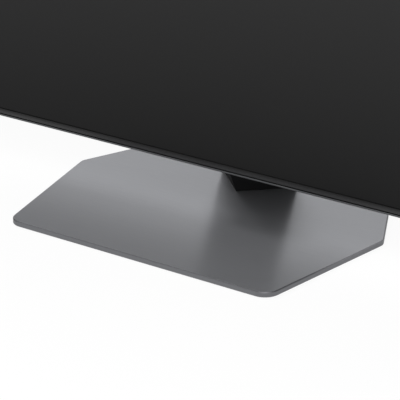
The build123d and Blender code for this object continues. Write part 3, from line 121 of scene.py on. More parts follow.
TAPE = (0.62, 0.42, 0.06)
TAPE_LAP = (0.5, 0.33, 0.05)
COPPER = (0.42, 0.13, 0.04)
COPPER_TURN = (0.55, 0.22, 0.08)
WHITE_LEAD = (0.62, 0.62, 0.60)
RED_LEAD = (0.35, 0.03, 0.02)
PART_BODY = (0.05, 0.045, 0.04)
PART_TAN = (0.42, 0.30, 0.18)
NICKEL = (0.62, 0.60, 0.56)
SOCKET_PLASTIC = (0.014, 0.014, 0.015)
SPEAKER_PLASTIC = (0.016, 0.016, 0.017)
RUBBER = (0.02, 0.02, 0.021)
SURROUND_RUBBER = (0.012, 0.012, 0.013)
PAPER = (0.035, 0.034, 0.033)
PAPER_FIBRE = (0.075, 0.072, 0.068)
HOUSING = (0.012, 0.012, 0.013)
BUTTON = (0.03, 0.03, 0.032)
WINDOW = (0.02, 0.008, 0.008)
WINDOW_CLOUD = (0.03, 0.012, 0.012)
RESIN = (0.02, 0.015, 0.03)
RESIN_CLOUD = (0.04, 0.03, 0.05)


# Sizes and colours that a user would change
def a_length(title, note, value):
    return FloatProperty(
        name=title, description=note, default=value, min=0, subtype="DISTANCE", unit="LENGTH"
    )


def a_power(title, note, value):
    return FloatProperty(
        name=title, description=note, default=value, min=0, subtype="POWER", unit="POWER"
    )


def a_place(title, note, value):
    return FloatVectorProperty(
        name=title, description=note, default=value, subtype="TRANSLATION", unit="LENGTH"
    )


def a_colour(title, note, value):
    return FloatVectorProperty(
        name=title, description=note, default=value, size=3, min=0, max=1, subtype="COLOR"
    )


class TelevisionStage(bpy.types.PropertyGroup):
    camera_place: a_place("Camera place", "Where the camera stands", (0.9273, -1.3933, 0.7571))
    camera_target: a_place("Camera target", "Where the camera looks", (-0.02526, 0.03767, 0.0009))
    camera_lens: FloatProperty(
        name="Lens", description="Focal length of the camera", default=167.755,
        subtype="DISTANCE_CAMERA", unit="CAMERA",
    )
    floor_colour: a_colour("Floor", "Colour of the floor", (0.96, 0.96, 0.96))
    floor_drop: a_length("Floor drop", "How far the floor lies under the soles of the feet", 0.0001)
    floor_glow: FloatProperty(
        name="Floor glow",
        description="How much of the floor is plain white to the camera and in reflections",
        default=0.9, min=0, max=1, subtype="FACTOR",
    )
    surrounding: FloatProperty(
        name="Surrounding light", description="Light from all sides", default=0.55, min=0
    )
    key_power: a_power("Key light", "Power of the large light above the front", 80)
    fill_power: a_power("Fill light", "Power of the light beside the back", 30)
    top_power: a_power("Top light", "Power of the large light above the left end", 42)


class TelevisionColours(bpy.types.PropertyGroup):
    screen: a_colour("Screen", "The dark glass", (0.0045, 0.0045, 0.0046))
    bezel: a_colour("Bezel", "The dark paint round the glass", (0.0125, 0.0125, 0.0127))
    # Painted light: a lighter colour towards the bezel's foot, in place of the light that its
    # curved lower edge catches
    chin_painted_light: a_colour("Chin", "The paint at the bezel's curved lower edge", (0.033, 0.033, 0.034))
    trim: a_colour("Trim", "The outermost metal edge", (0.098, 0.100, 0.104))
    plate: a_colour("Base plate", "The satin metal of the base plate", (0.266, 0.270, 0.285))
    neck: a_colour("Neck", "The black covers of the neck", (0.0130, 0.0130, 0.0135))
    cover: a_colour("Rear cover", "The moulded back", (0.022, 0.022, 0.024))
    board: a_colour("Circuit boards", "Solder mask of the boards", (0.012, 0.09, 0.035))
    steel: a_colour("Steel", "Plated steel of the chassis and the brackets", (0.55, 0.56, 0.57))
    fastener: a_colour("Fasteners", "Blackened screws", (0.06, 0.06, 0.063))
    contact: a_colour("Contacts", "Gilt contacts of the sockets", (0.85, 0.60, 0.22))


class TelevisionSizes(bpy.types.PropertyGroup):
    screw_pitch: a_length("Screw pitch", "From turn to turn of a cover screw's thread", 0.0012)
    recess_depth: a_length("Recess depth", "Depth of the driver's recess in a screw", 0.0011)
    insert_pitch: a_length("Insert pitch", "From turn to turn of a wall insert's thread", 0.00125)
    edge_round: a_length("Edge round", "How far the light rolls over moulded edges", 0.0003)
    cover_line_pitch: a_length("Cover line pitch", "From line to line on the rear cover", 0.0032)
    part_spacing: a_length("Small part spacing", "From one small part to the next", 0.0062)
    sensor_board_thickness: a_length("Sensor board", "Thickness of the control board", 0.001)
    contact_width: a_length("Contact width", "Width of a contact in a media socket", 0.0005)


# Node materials
class NodeTree:
    """Adds nodes to a material or a world, and links them."""

    def __init__(self, owner):
        owner.use_nodes = True
        self.nodes = owner.node_tree.nodes
        self.links = owner.node_tree.links

    def node(self, kind, inputs=None, **settings):
        made = self.nodes.new(kind)
        for name, value in settings.items():
            setattr(made, name, value)
        for name, value in (inputs or {}).items():
            self.feed(made.inputs[name], value)
        return made

    def feed(self, socket, value):
        if isinstance(value, bpy.types.NodeSocket):
            self.links.new(value, socket)
        else:
            socket.default_value = value

    def calculate(self, operation, first, second, clamp=False):
        settings = {"operation": operation, "use_clamp": clamp}
        return self.node("ShaderNodeMath", {0: first, 1: second}, **settings).outputs[0]

    def between(self, value, low, high, to_low=0.0, to_high=1.0):
        """Maps the span from low to high onto the span from to_low to to_high."""
        inputs = {"Value": value, "From Min": low, "From Max": high}
        inputs |= {"To Min": to_low, "To Max": to_high}
        return self.node("ShaderNodeMapRange", inputs).outputs["Result"]

    def seen(self):
        """One for rays from the camera and for what metal and glass show, else nought."""
        path = self.node("ShaderNodeLightPath").outputs
        mirrored = self.calculate("MAXIMUM", path["Is Glossy Ray"], path["Is Transmission Ray"])
        return self.calculate("MAXIMUM", path["Is Camera Ray"], mirrored)


class Finish(NodeTree):
    """A node material that gains tints, sheen and relief one after another."""

    def __init__(self, name, colour, roughness, metal=0.0, gloss=0.5):
        self.material = bpy.data.materials.new(name)
        super().__init__(self.material)
        self.shader = self.nodes["Principled BSDF"]
        self.colour = (*colour, 1)
        self.set("Base Color", self.colour)
        self.set("Roughness", roughness)
        self.set("Metallic", metal)
        self.set("Specular IOR Level", gloss)
        self.normal = None
        self.place = self.node("ShaderNodeTexCoord").outputs["Object"]

    def set(self, name, value):
        self.shader.inputs[name].default_value = value

    def stretched(self, stretch):
        return self.node("ShaderNodeMapping", {"Vector": self.place, "Scale": stretch}).outputs[0]

    def speckle(self, size, detail=3.0, stretch=(1, 1, 1)):
        """Noise whose spots are about as large as size, in metres."""
        inputs = {"Vector": self.stretched(stretch), "Scale": 1 / size, "Detail": detail}
        return self.node("ShaderNodeTexNoise", inputs).outputs[0]

    def cells(self, size):
        """Small cells, each with a grey of its own."""
        inputs = {"Vector": self.place, "Scale": 1 / size}
        return self.node("ShaderNodeTexVoronoi", inputs).outputs["Color"]

    def lines(self, direction, pitch):
        """Soft parallel lines across a direction."""
        inputs = {"Vector": self.place, "Scale": math.tau / (WAVE_TURNS * pitch)}
        return self.node("ShaderNodeTexWave", inputs, bands_direction=direction).outputs["Fac"]

    def height(self):
        """The height above the table, in metres."""
        return self.node("ShaderNodeSeparateXYZ", {0: self.place}).outputs[2]

    def facing(self):
        """The way that the surface faces."""
        return self.node("ShaderNodeNewGeometry").outputs["Normal"]

    def rounded(self, radius):
        """The way that the surface would face if its edges were round."""
        return self.node("ShaderNodeBevel", {"Radius": radius}, samples=4).outputs[0]

    def edges(self, radius):
        """One where the surface turns a corner within radius, nought on the flat."""
        inputs = {0: self.rounded(radius), 1: self.facing()}
        along = self.node("ShaderNodeVectorMath", inputs, operation="DOT_PRODUCT")
        return self.between(along.outputs["Value"], low=0.98, high=0.80)

    def soften(self, radius):
        """Lets the light roll over edges."""
        self.normal = self.rounded(radius)
        self.feed(self.shader.inputs["Normal"], self.normal)

    def tint(self, mask, colour, amount=1.0):
        """Mixes in a colour by up to amount, where the mask is one."""
        factor = self.calculate("MULTIPLY", mask, amount, clamp=True)
        inputs = {MIX_FACTOR: factor, MIX_FIRST: self.colour, MIX_SECOND: (*colour, 1)}
        self.colour = self.node("ShaderNodeMix", inputs, data_type="RGBA").outputs[MIX_RESULT]
        self.feed(self.shader.inputs["Base Color"], self.colour)

    def sheen(self, mask, low, high):
        """Roughness that follows a mask."""
        rough = self.between(mask, low=0.25, high=0.75, to_low=low, to_high=high)
        self.feed(self.shader.inputs["Roughness"], rough)

    def relief(self, mask, height):
        """Raises the surface by up to height, in metres, where the mask is one."""
        bump = self.node("ShaderNodeBump", {"Height": mask, "Distance": height, "Strength": 1.0})
        if self.normal:
            self.links.new(self.normal, bump.inputs["Normal"])
        self.normal = bump.outputs[0]
        self.feed(self.shader.inputs["Normal"], self.normal)

    def cloud(self, size, colour, amount):
        """Mixes in a colour in soft spots about as large as size."""
        self.tint(self.speckle(size), colour, amount)

    def pattern(self, mask, colour, amount, height):
        """Tints the surface and raises it, where the mask is one."""
        self.tint(mask, colour, amount)
        self.relief(mask, height)


def shade(colour, amount):
    """A darker colour for an amount under one, a lighter one for an amount above it."""
    return tuple(channel * amount for channel in colour)


def moulded(name, colour, roughness, gloss=0.35):
    """Moulded plastic: a fine spark-eroded grain, softened edges and slight wear on them."""
    rounding = bpy.context.scene.television_sizes.edge_round
    finish = Finish(name, colour, roughness, gloss=gloss)
    finish.soften(rounding)
    grain = finish.speckle(size=0.0006, detail=5)
    finish.cloud(0.03, shade(colour, 1.25), amount=0.5)
    finish.tint(finish.edges(rounding), shade(colour, 1.8), amount=0.35)
    finish.sheen(grain, low=roughness - 0.06, high=roughness + 0.08)
    finish.relief(grain, height=0.00002)
    return finish


def metal(name, colour, roughness, stretch=(1, 1, 1), wear=0.2):
    """Satin metal: drawn or blasted, with brighter edges."""
    rounding = bpy.context.scene.television_sizes.edge_round
    finish = Finish(name, colour, roughness, metal=1.0)
    grain = finish.speckle(size=0.0004, detail=4, stretch=stretch)
    finish.tint(finish.speckle(size=0.05, stretch=stretch), shade(colour, 0.92), amount=0.6)
    finish.tint(finish.edges(rounding), shade(colour, 1.3), amount=wear)
    finish.sheen(grain, low=roughness - 0.04, high=roughness + 0.05)
    finish.relief(grain, height=0.000004)
    return finish


def galvanised(name, colour):
    """Zinc-coated steel sheet with its spangle."""
    finish = Finish(name, colour, roughness=0.42, metal=1.0)
    grey = finish.node("ShaderNodeRGBToBW", {0: finish.cells(size=0.006)}).outputs[0]
    finish.tint(grey, shade(colour, 0.78), amount=0.55)
    finish.sheen(grey, low=0.34, high=0.50)
    finish.relief(finish.speckle(size=0.0012), height=0.00001)
    return finish


def rubber(name, colour):
    """Soft matt rubber."""
    finish = Finish(name, colour, roughness=0.82, gloss=0.25)
    finish.cloud(0.004, shade(colour, 1.6), amount=0.5)
    finish.relief(finish.speckle(size=0.0004, detail=5), height=0.00003)
    return finish


def dress(finish, *nodes):
    """Gives CAD nodes a finish."""
    for node in nodes:
        for slot in frame["nodes"][node].material_slots:
            slot.material = finish.material


# Shapes
def add_rings(shape, rings, place, steps):
    """Joins rings about an axis. Each ring is a height and a radius, or a radius by angle."""
    loops = []
    for height, radius in rings:
        if radius == 0:
            loops.append([shape.verts.new(place @ Vector((0, 0, height)))])
            continue
        loop = []
        for index in range(steps):
            angle = math.tau * index / steps
            reach = radius(angle) if callable(radius) else radius
            point = Vector((reach * math.cos(angle), reach * math.sin(angle), height))
            loop.append(shape.verts.new(place @ point))
        loops.append(loop)
    for lower, upper in zip(loops, loops[1:]):
        for index in range(steps):
            after = (index + 1) % steps
            if len(lower) == 1:
                shape.faces.new((lower[0], upper[after], upper[index]))
            elif len(upper) == 1:
                shape.faces.new((lower[index], lower[after], upper[0]))
            else:
                shape.faces.new((lower[index], lower[after], upper[after], upper[index]))


def dome_rings(rise, radius, steps):
    """Rings of a dome from its foot to its top."""
    rings = []
    for step in range(steps):
        sweep = math.radians(90 * step / steps)
        rings.append((rise * math.sin(sweep), radius * math.cos(sweep)))
    return rings + [(rise, 0)]


def add_block(shape, low, high, bevel=0.0):
    """A block between two corners, its edges bevelled."""
    made = bmesh.ops.create_cube(shape, size=1)["verts"]
    for vertex in made:
        vertex.co = Vector(high[axis] if vertex.co[axis] > 0 else low[axis] for axis in range(3))
    if bevel:
        edges = list(dict.fromkeys(edge for vertex in made for edge in vertex.link_edges))
        bmesh.ops.bevel(shape, geom=edges, offset=bevel, segments=1, affect="EDGES", profile=0.5)


def make_piece(name, shape, finish, replaces=()):
    """Turns a shape into a piece that rides on the television."""
    bmesh.ops.recalc_face_normals(shape, faces=shape.faces)
    mesh = bpy.data.meshes.new(name)
    shape.to_mesh(mesh)
    shape.free()
    mesh.shade_smooth()
    mesh.set_sharp_from_angle(angle=SHARP_FROM)
    mesh.materials.append(finish.material)
    piece = bpy.data.objects.new(name, mesh)
    bpy.context.scene.collection.objects.link(piece)
    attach(piece, "television")
    if replaces:
        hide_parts(*replaces)


def solid_boxes(node):
    """The lowest and highest corner of each separate solid of a CAD node."""
    shape = bmesh.new()
    shape.from_mesh(frame["nodes"][node].data)
    bmesh.ops.remove_doubles(shape, verts=shape.verts, dist=WELD_DISTANCE)
    left = set(shape.verts)
    boxes = []
    while left:
        found = [left.pop()]
        for vertex in found:
            for edge in vertex.link_edges:
                other = edge.other_vert(vertex)
                if other in left:
                    left.remove(other)
                    found.append(other)
        low = Vector(min(vertex.co[axis] for vertex in found) for axis in range(3))
        high = Vector(max(vertex.co[axis] for vertex in found) for axis in range(3))
        boxes.append((low, high))
    shape.free()
    return sorted(boxes, key=lambda box: tuple(box[0]))


# Screws
THREAD_DEPTH_SHARE = 0.18  # of the shank's radius
THREAD_FADE_STEPS = 4
HEAD_CHAMFER = 0.0001
HEAD_WALL_SHARE = 0.45  # of the head's height, under its dome
HEAD_DOME_SHARE = 0.5  # of the head's height
HEAD_TOP_SHARE = 0.62  # of the head's radius
HEAD_DOME_TURNS = (25, 50, 75)  # degrees
RECESS_RIM, RECESS_FOOT = 1.06, 0.82  # times the recess's outline
RECESS_WALL_SHARE = 0.7  # of the recess's depth
RECESS_DEEPEST_SHARE = 0.7  # of the head's height
CROSS_LENGTH, CROSS_WIDTH, HEXAGON_WIDTH = 0.56, 0.14, 0.46  # halves, in head radii
LEAD_SHARE = 0.25  # of the shank's length
NEARLY_NOUGHT = 0.001
SCREW_STEPS = 24


def cross_recess(head_radius):
    """The radius of a cross recess for an angle."""
    half_width = head_radius * CROSS_WIDTH
    half_length = head_radius * CROSS_LENGTH

    def radius(angle):
        turned = (angle + math.pi / 4) % (math.pi / 2) - math.pi / 4
        side = half_width / max(abs(math.sin(turned)), NEARLY_NOUGHT)
        return min(half_length / math.cos(turned), side)

    return radius


def hexagon_recess(head_radius):
    """The radius of a hexagon recess for an angle."""
    half_width = head_radius * HEXAGON_WIDTH

    def radius(angle):
        return half_width / math.cos(angle % (math.pi / 3) - math.pi / 6)

    return radius


class ScrewKind(NamedTuple):
    """One kind of screw, with its sizes in millimetres. The CAD solid gives its true scale."""

    node: str
    facing: Matrix
    recess: object
    head_height: float
    whole_length: float
    shank_radius: float
    head_radius: float
    pitch: float = None  # in metres, or else that of the settings


BLACK_SCREWS = (
    ScrewKind("cover_screws", FACING_BACK, cross_recess, 1.6, 15.4, 1.7, 3.8),
    ScrewKind("head_screws", FACING_BACK, hexagon_recess, 2.6, 9.6, 2.5, 4.4, 0.0008),
    ScrewKind("base_screws", FACING_DOWN, hexagon_recess, 2.6, 8.0, 2.5, 4.4, 0.0008),
)
ZINC_SCREWS = (
    ScrewKind("board_screws", FACING_BACK, cross_recess, 1.8, 5.4, 1.5, 3.0, 0.0007),
)


def thread_rings(low, high, radius, depth, pitch, steps_per_turn=4):
    """Rings of a helical thread between two heights."""
    count = max(2, int((high - low) / pitch * steps_per_turn))
    rings = []
    for index in range(count + 1):
        height = low + (high - low) * index / count
        fade = min(1.0, index / THREAD_FADE_STEPS, (count - index) / THREAD_FADE_STEPS)

        def reach(angle, height=height, fade=fade):
            phase = (height / pitch - angle / math.tau) % 1
            return radius - depth * (1 - fade * (1 - abs(2 * phase - 1)))

        rings.append((height, reach))
    return rings


def scaled(outline, amount):
    return lambda angle: outline(angle) * amount


def add_screw(shape, place, head, shank, recess, pitch, depth):
    """A threaded screw with its head up: head and shank are a radius and a length each."""
    head_radius, head_height = head
    shank_radius, shank_length = shank
    tip = -shank_length
    lead = min(shank_radius, shank_length * LEAD_SHARE)
    thread_depth = shank_radius * THREAD_DEPTH_SHARE
    rings = [(tip, 0), (tip, shank_radius - lead / 2)]
    rings += thread_rings(tip + lead / 2, -lead / 2, shank_radius, thread_depth, pitch)
    rings += [(0, shank_radius), (0, head_radius - HEAD_CHAMFER), (HEAD_CHAMFER, head_radius)]
    rings.append((head_height * HEAD_WALL_SHARE, head_radius))
    for turn in HEAD_DOME_TURNS:
        sweep = math.radians(turn)
        rise = HEAD_WALL_SHARE + HEAD_DOME_SHARE * math.sin(sweep)
        reach = HEAD_TOP_SHARE + (1 - HEAD_TOP_SHARE) * math.cos(sweep)
        rings.append((head_height * rise, head_radius * reach))
    rings.append((head_height, scaled(recess, RECESS_RIM)))
    rings.append((head_height - HEAD_CHAMFER, recess))
    rings.append((head_height - depth * RECESS_WALL_SHARE, scaled(recess, RECESS_FOOT)))
    rings.append((head_height - depth, 0))
    add_rings(shape, rings, place, SCREW_STEPS)


def make_screws(kind, finish):
    """Threaded screws in place of the CAD node's plain ones."""
    sizes = bpy.context.scene.television_sizes
    shape = bmesh.new()
    down = kind.facing is FACING_DOWN
    axis = 2 if down else 1
    for low, high in solid_boxes(kind.node):
        whole = high[axis] - low[axis]
        head_height = whole * (kind.head_height / kind.whole_length)
        head_radius = (high.x - low.x) / 2
        seat = (low + high) / 2
        seat[axis] = low[axis] + head_height if down else high[axis] - head_height
        head = head_radius, head_height
        shank = head_radius * (kind.shank_radius / kind.head_radius), whole - head_height
        recess = kind.recess(head_radius)
        depth = min(sizes.recess_depth, head_height * RECESS_DEEPEST_SHARE)
        place = Matrix.Translation(seat) @ kind.facing
        add_screw(shape, place, head, shank, recess, kind.pitch or sizes.screw_pitch, depth)
    name = kind.node + "_threaded"
    make_piece(name, shape, finish, replaces=(kind.node,))


# Operators
class TelevisionOperator:
    """What all the operators share."""

    bl_options = {"REGISTER", "UNDO"}

    def execute(self, context):
        if not frame["nodes"]:
            raise RuntimeError("the packed television isn't loaded")
        self.build(context.scene)
        return {"FINISHED"}


class TELEVISION_OT_stage(TelevisionOperator, bpy.types.Operator):
    """Sets up the floor, the lights and the camera"""

    bl_idname = "television.stage"
    bl_label = "Stage"

    def build(self, scene):
        settings = scene.television_stage
        scene.view_settings.view_transform = "Standard"
        self.add_floor(scene, settings)
        self.add_surroundings(scene, settings)
        for name, power, place, width in LIGHTS:
            self.add_light(scene, name, getattr(settings, power), place, width)
        self.add_camera(scene, settings)

    def add_floor(self, scene, settings):
        shape = bmesh.new()
        bmesh.ops.create_grid(shape, x_segments=8, y_segments=8, size=FLOOR_REACH)
        mesh = bpy.data.meshes.new("floor")
        shape.to_mesh(mesh)
        shape.free()
        floor = bpy.data.objects.new("floor", mesh)
        floor.location.z = -settings.floor_drop
        scene.collection.objects.link(floor)
        finish = Finish("pale_floor", settings.floor_colour, roughness=0.9, gloss=0.0)
        glow = finish.node("ShaderNodeEmission", {"Color": WHITE, "Strength": 1.0}).outputs[0]
        factor = finish.calculate("MULTIPLY", finish.seen(), settings.floor_glow)
        surfaces = {0: factor, 1: finish.shader.outputs[0], 2: glow}
        mixed = finish.node("ShaderNodeMixShader", surfaces).outputs[0]
        finish.feed(finish.nodes["Material Output"].inputs["Surface"], mixed)
        mesh.materials.append(finish.material)

    def add_surroundings(self, scene, settings):
        """Plain white to the camera and in reflections, dimmer as a light."""
        world = bpy.data.worlds.new("surroundings")
        scene.world = world
        tree = NodeTree(world)
        strength = tree.between(tree.seen(), low=0.0, high=1.0, to_low=settings.surrounding)
        background = tree.nodes["Background"].inputs
        tree.feed(background["Color"], WHITE)
        tree.feed(background["Strength"], strength)

    def add_light(self, scene, name, power, place, width):
        lamp = bpy.data.lights.new(name, "AREA")
        lamp.energy = power
        lamp.size = width
        light = bpy.data.objects.new(name, lamp)
        self.aim(light, place, LIGHTS_AIM)
        light.visible_camera = False
        scene.collection.objects.link(light)

    def add_camera(self, scene, settings):
        data = bpy.data.cameras.new("photo_camera")
        data.sensor_width = SENSOR_WIDTH
        data.lens = settings.camera_lens
        data.clip_start = NEAREST_SEEN
        data.clip_end = FURTHEST_SEEN
        camera = bpy.data.objects.new("photo_camera", data)
        self.aim(camera, settings.camera_place, settings.camera_target)
        scene.collection.objects.link(camera)
        scene.camera = camera

    def aim(self, thing, place, target):
        """Puts a light or the camera at a place and turns it to a target."""
        thing.location = place
        view = Vector(target) - Vector(place)
        thing.rotation_euler = view.to_track_quat("-Z", "Y").to_euler()


class TELEVISION_OT_screen(TelevisionOperator, bpy.types.Operator):
    """Finishes the glass, the bezel, the trim and the frame behind them"""

    bl_idname = "television.screen"
    bl_label = "Screen and edge"

    # Heights over which the glass's painted reflection goes from dark to light
    GLASS_DARK_TO, GLASS_LIGHT_FROM = 0.065, 0.36  # above the table
    # Heights over which the bezel's painted light comes in, towards its foot
    CHIN_DARK_FROM, CHIN_LIGHT_TO = 0.0048, 0.0022  # above the bezel's foot

    def build(self, scene):
        colours = scene.television_colours
        along = (0.05, 1, 1)
        dress(self.glass(colours), "lcd_cell")
        dress(self.paint(colours, along), "front_bezel")
        trim = metal("trim_metal_brushed", colours.trim, roughness=0.34, stretch=along, wear=0.3)
        dress(trim, "outer_trim")
        inner = moulded("frame_plastic_black", FRAME_PLASTIC, roughness=0.6)
        dress(inner, "middle_frame")

    def glass(self, colours):
        """Dark anti-glare glass, with a painted reflection that makes it lighter towards its upper
        part.
        """
        glass = Finish("anti_glare_glass", colours.screen, roughness=0.22, gloss=0.125)
        haze = glass.speckle(size=0.0005, detail=6)
        glass.cloud(0.2, shade(colours.screen, 1.15), amount=0.5)
        # Painted reflection: the glass grows lighter with height
        upper = glass.between(glass.height(), self.GLASS_DARK_TO, self.GLASS_LIGHT_FROM)
        glass.tint(upper, SCREEN_PAINTED_REFLECTION)
        glass.sheen(haze, low=0.2, high=0.26)
        glass.relief(haze, height=0.000002)
        return glass

    def paint(self, colours, along):
        """Dark satin paint over fine brush marks, with painted light that makes it lighter towards
        the bezel's foot.
        """
        paint = Finish("bezel_paint_satin", colours.bezel, roughness=0.36, gloss=0.12)
        brushed = paint.speckle(size=0.0004, detail=4, stretch=along)
        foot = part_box("front_bezel")[0].z
        span = foot + self.CHIN_DARK_FROM, foot + self.CHIN_LIGHT_TO
        # Painted light: the paint grows lighter towards the bezel's foot
        chin_painted_light = paint.between(paint.height(), *span)
        paint.tint(brushed, shade(colours.bezel, 1.3), amount=0.5)
        paint.tint(chin_painted_light, colours.chin_painted_light)
        paint.sheen(brushed, low=0.32, high=0.42)
        paint.relief(brushed, height=0.000004)
        return paint


class TELEVISION_OT_optics(TelevisionOperator, bpy.types.Operator):
    """Finishes the films, the diffuser and the back light, and adds a lens to each light"""

    bl_idname = "television.optics"
    bl_label = "Back light"

    PACKAGE_DEPTH = 0.0007
    DOME_SHARE = 0.94  # of the package's half width

    def build(self, scene):
        prism = Finish("prism_film", PRISM_FILM, roughness=0.28, gloss=0.6)
        prism.relief(prism.lines("Z", pitch=0.0002), height=0.00004)
        prism.cloud(0.05, PRISM_CLOUD, amount=0.5)
        dress(prism, "prism_sheet")
        dots = Finish("quantum_dot_film", DOT_FILM, roughness=0.4)
        dots.cloud(0.004, DOT_SPECK, amount=0.6)
        dress(dots, "quantum_dot_sheet")
        frosted = Finish("frosted_acrylic", ACRYLIC, roughness=0.55)
        frosted.relief(frosted.speckle(size=0.0004), height=0.00003)
        frosted.cloud(0.02, ACRYLIC_CLOUD, amount=0.5)
        dress(frosted, "diffuser_plate")
        foam = Finish("white_foam_film", FOAM, roughness=0.7)
        foam.relief(foam.cells(size=0.0008), height=0.00002)
        foam.cloud(0.01, FOAM_CLOUD, amount=0.4)
        dress(foam, "reflector_sheet")
        mask = Finish("white_solder_mask", WHITE_MASK, roughness=0.35)
        tracks = mask.lines("Z", pitch=0.009)
        mask.tint(mask.between(tracks, low=0.55, high=0.6), WHITE_TRACK, amount=0.8)
        mask.relief(tracks, height=0.00002)
        dress(mask, "led_boards")
        self.add_lenses()

    def add_lenses(self):
        """A package with a dome on it for each light."""
        shape = bmesh.new()
        for low, high in solid_boxes("led_lights"):
            half = (high.x - low.x) / 2
            middle = (low + high) / 2
            foot = high.y - self.PACKAGE_DEPTH
            add_block(shape, (low.x, foot, low.z), high, bevel=0.0002)
            place = Matrix.Translation((middle.x, foot, middle.z)) @ FACING_FRONT
            rings = dome_rings(foot - low.y, half * self.DOME_SHARE, steps=6)
            add_rings(shape, rings, place, steps=20)
        lens = Finish("silicone_lens", SILICONE, roughness=0.08, gloss=0.6)
        lens.set("Subsurface Weight", 0.2)
        lens.cloud(0.002, SILICONE_CLOUD, amount=0.6)
        make_piece("led_lenses", shape, lens, replaces=("led_lights",))


class TELEVISION_OT_chassis(TelevisionOperator, bpy.types.Operator):
    """Finishes the pressed chassis, the receiver plate, the wall inserts and the bracket"""

    bl_idname = "television.chassis"
    bl_label = "Chassis and steel parts"

    BORE_RADIUS, BORE_CLEARANCE = 0.004, 0.0001
    THREAD_START, THREAD_END, THREAD_DEPTH = -0.0115, -0.0004, 0.0008

    def build(self, scene):
        steel = scene.television_colours.steel
        dress(galvanised("galvanised_sheet", steel), "back_chassis")
        turned = metal("turned_steel", shade(steel, 0.9), roughness=0.3, stretch=(1, 0.1, 1))
        dress(turned, "wall_inserts", "stand_receiver")
        black = Finish("black_powder_coat", POWDER_COAT, roughness=0.5, gloss=0.4)
        black.relief(black.speckle(size=0.0009, detail=2), height=0.00004)
        black.tint(black.edges(radius=0.0008), POWDER_WORN, amount=0.3)
        dress(black, "neck_bracket")
        self.add_insert_threads(scene)

    def add_insert_threads(self, scene):
        """The inner thread of each wall insert."""
        span = self.THREAD_START, self.THREAD_END
        radius = self.BORE_RADIUS + self.BORE_CLEARANCE
        pitch = scene.television_sizes.insert_pitch
        rings = thread_rings(*span, radius, self.THREAD_DEPTH, pitch, steps_per_turn=6)
        shape = bmesh.new()
        for low, high in solid_boxes("wall_inserts"):
            middle = (low + high) / 2
            middle.y = high.y
            add_rings(shape, rings, Matrix.Translation(middle) @ FACING_BACK, steps=32)
        bright = metal("cut_thread", CUT_STEEL, roughness=0.25)
        make_piece("wall_insert_threads", shape, bright)


class TELEVISION_OT_fasteners(TelevisionOperator, bpy.types.Operator):
    """Puts threaded screws with driver recesses in place of the plain ones"""

    bl_idname = "television.fasteners"
    bl_label = "Screws"

    def build(self, scene):
        fastener = scene.television_colours.fastener
        black = metal("blackened_screw", fastener, roughness=0.35, wear=0.6)
        zinc = metal("zinc_screw", ZINC, roughness=0.3, wear=0.4)
        for finish, kinds in ((black, BLACK_SCREWS), (zinc, ZINC_SCREWS)):
            for kind in kinds:
                make_screws(kind, finish)


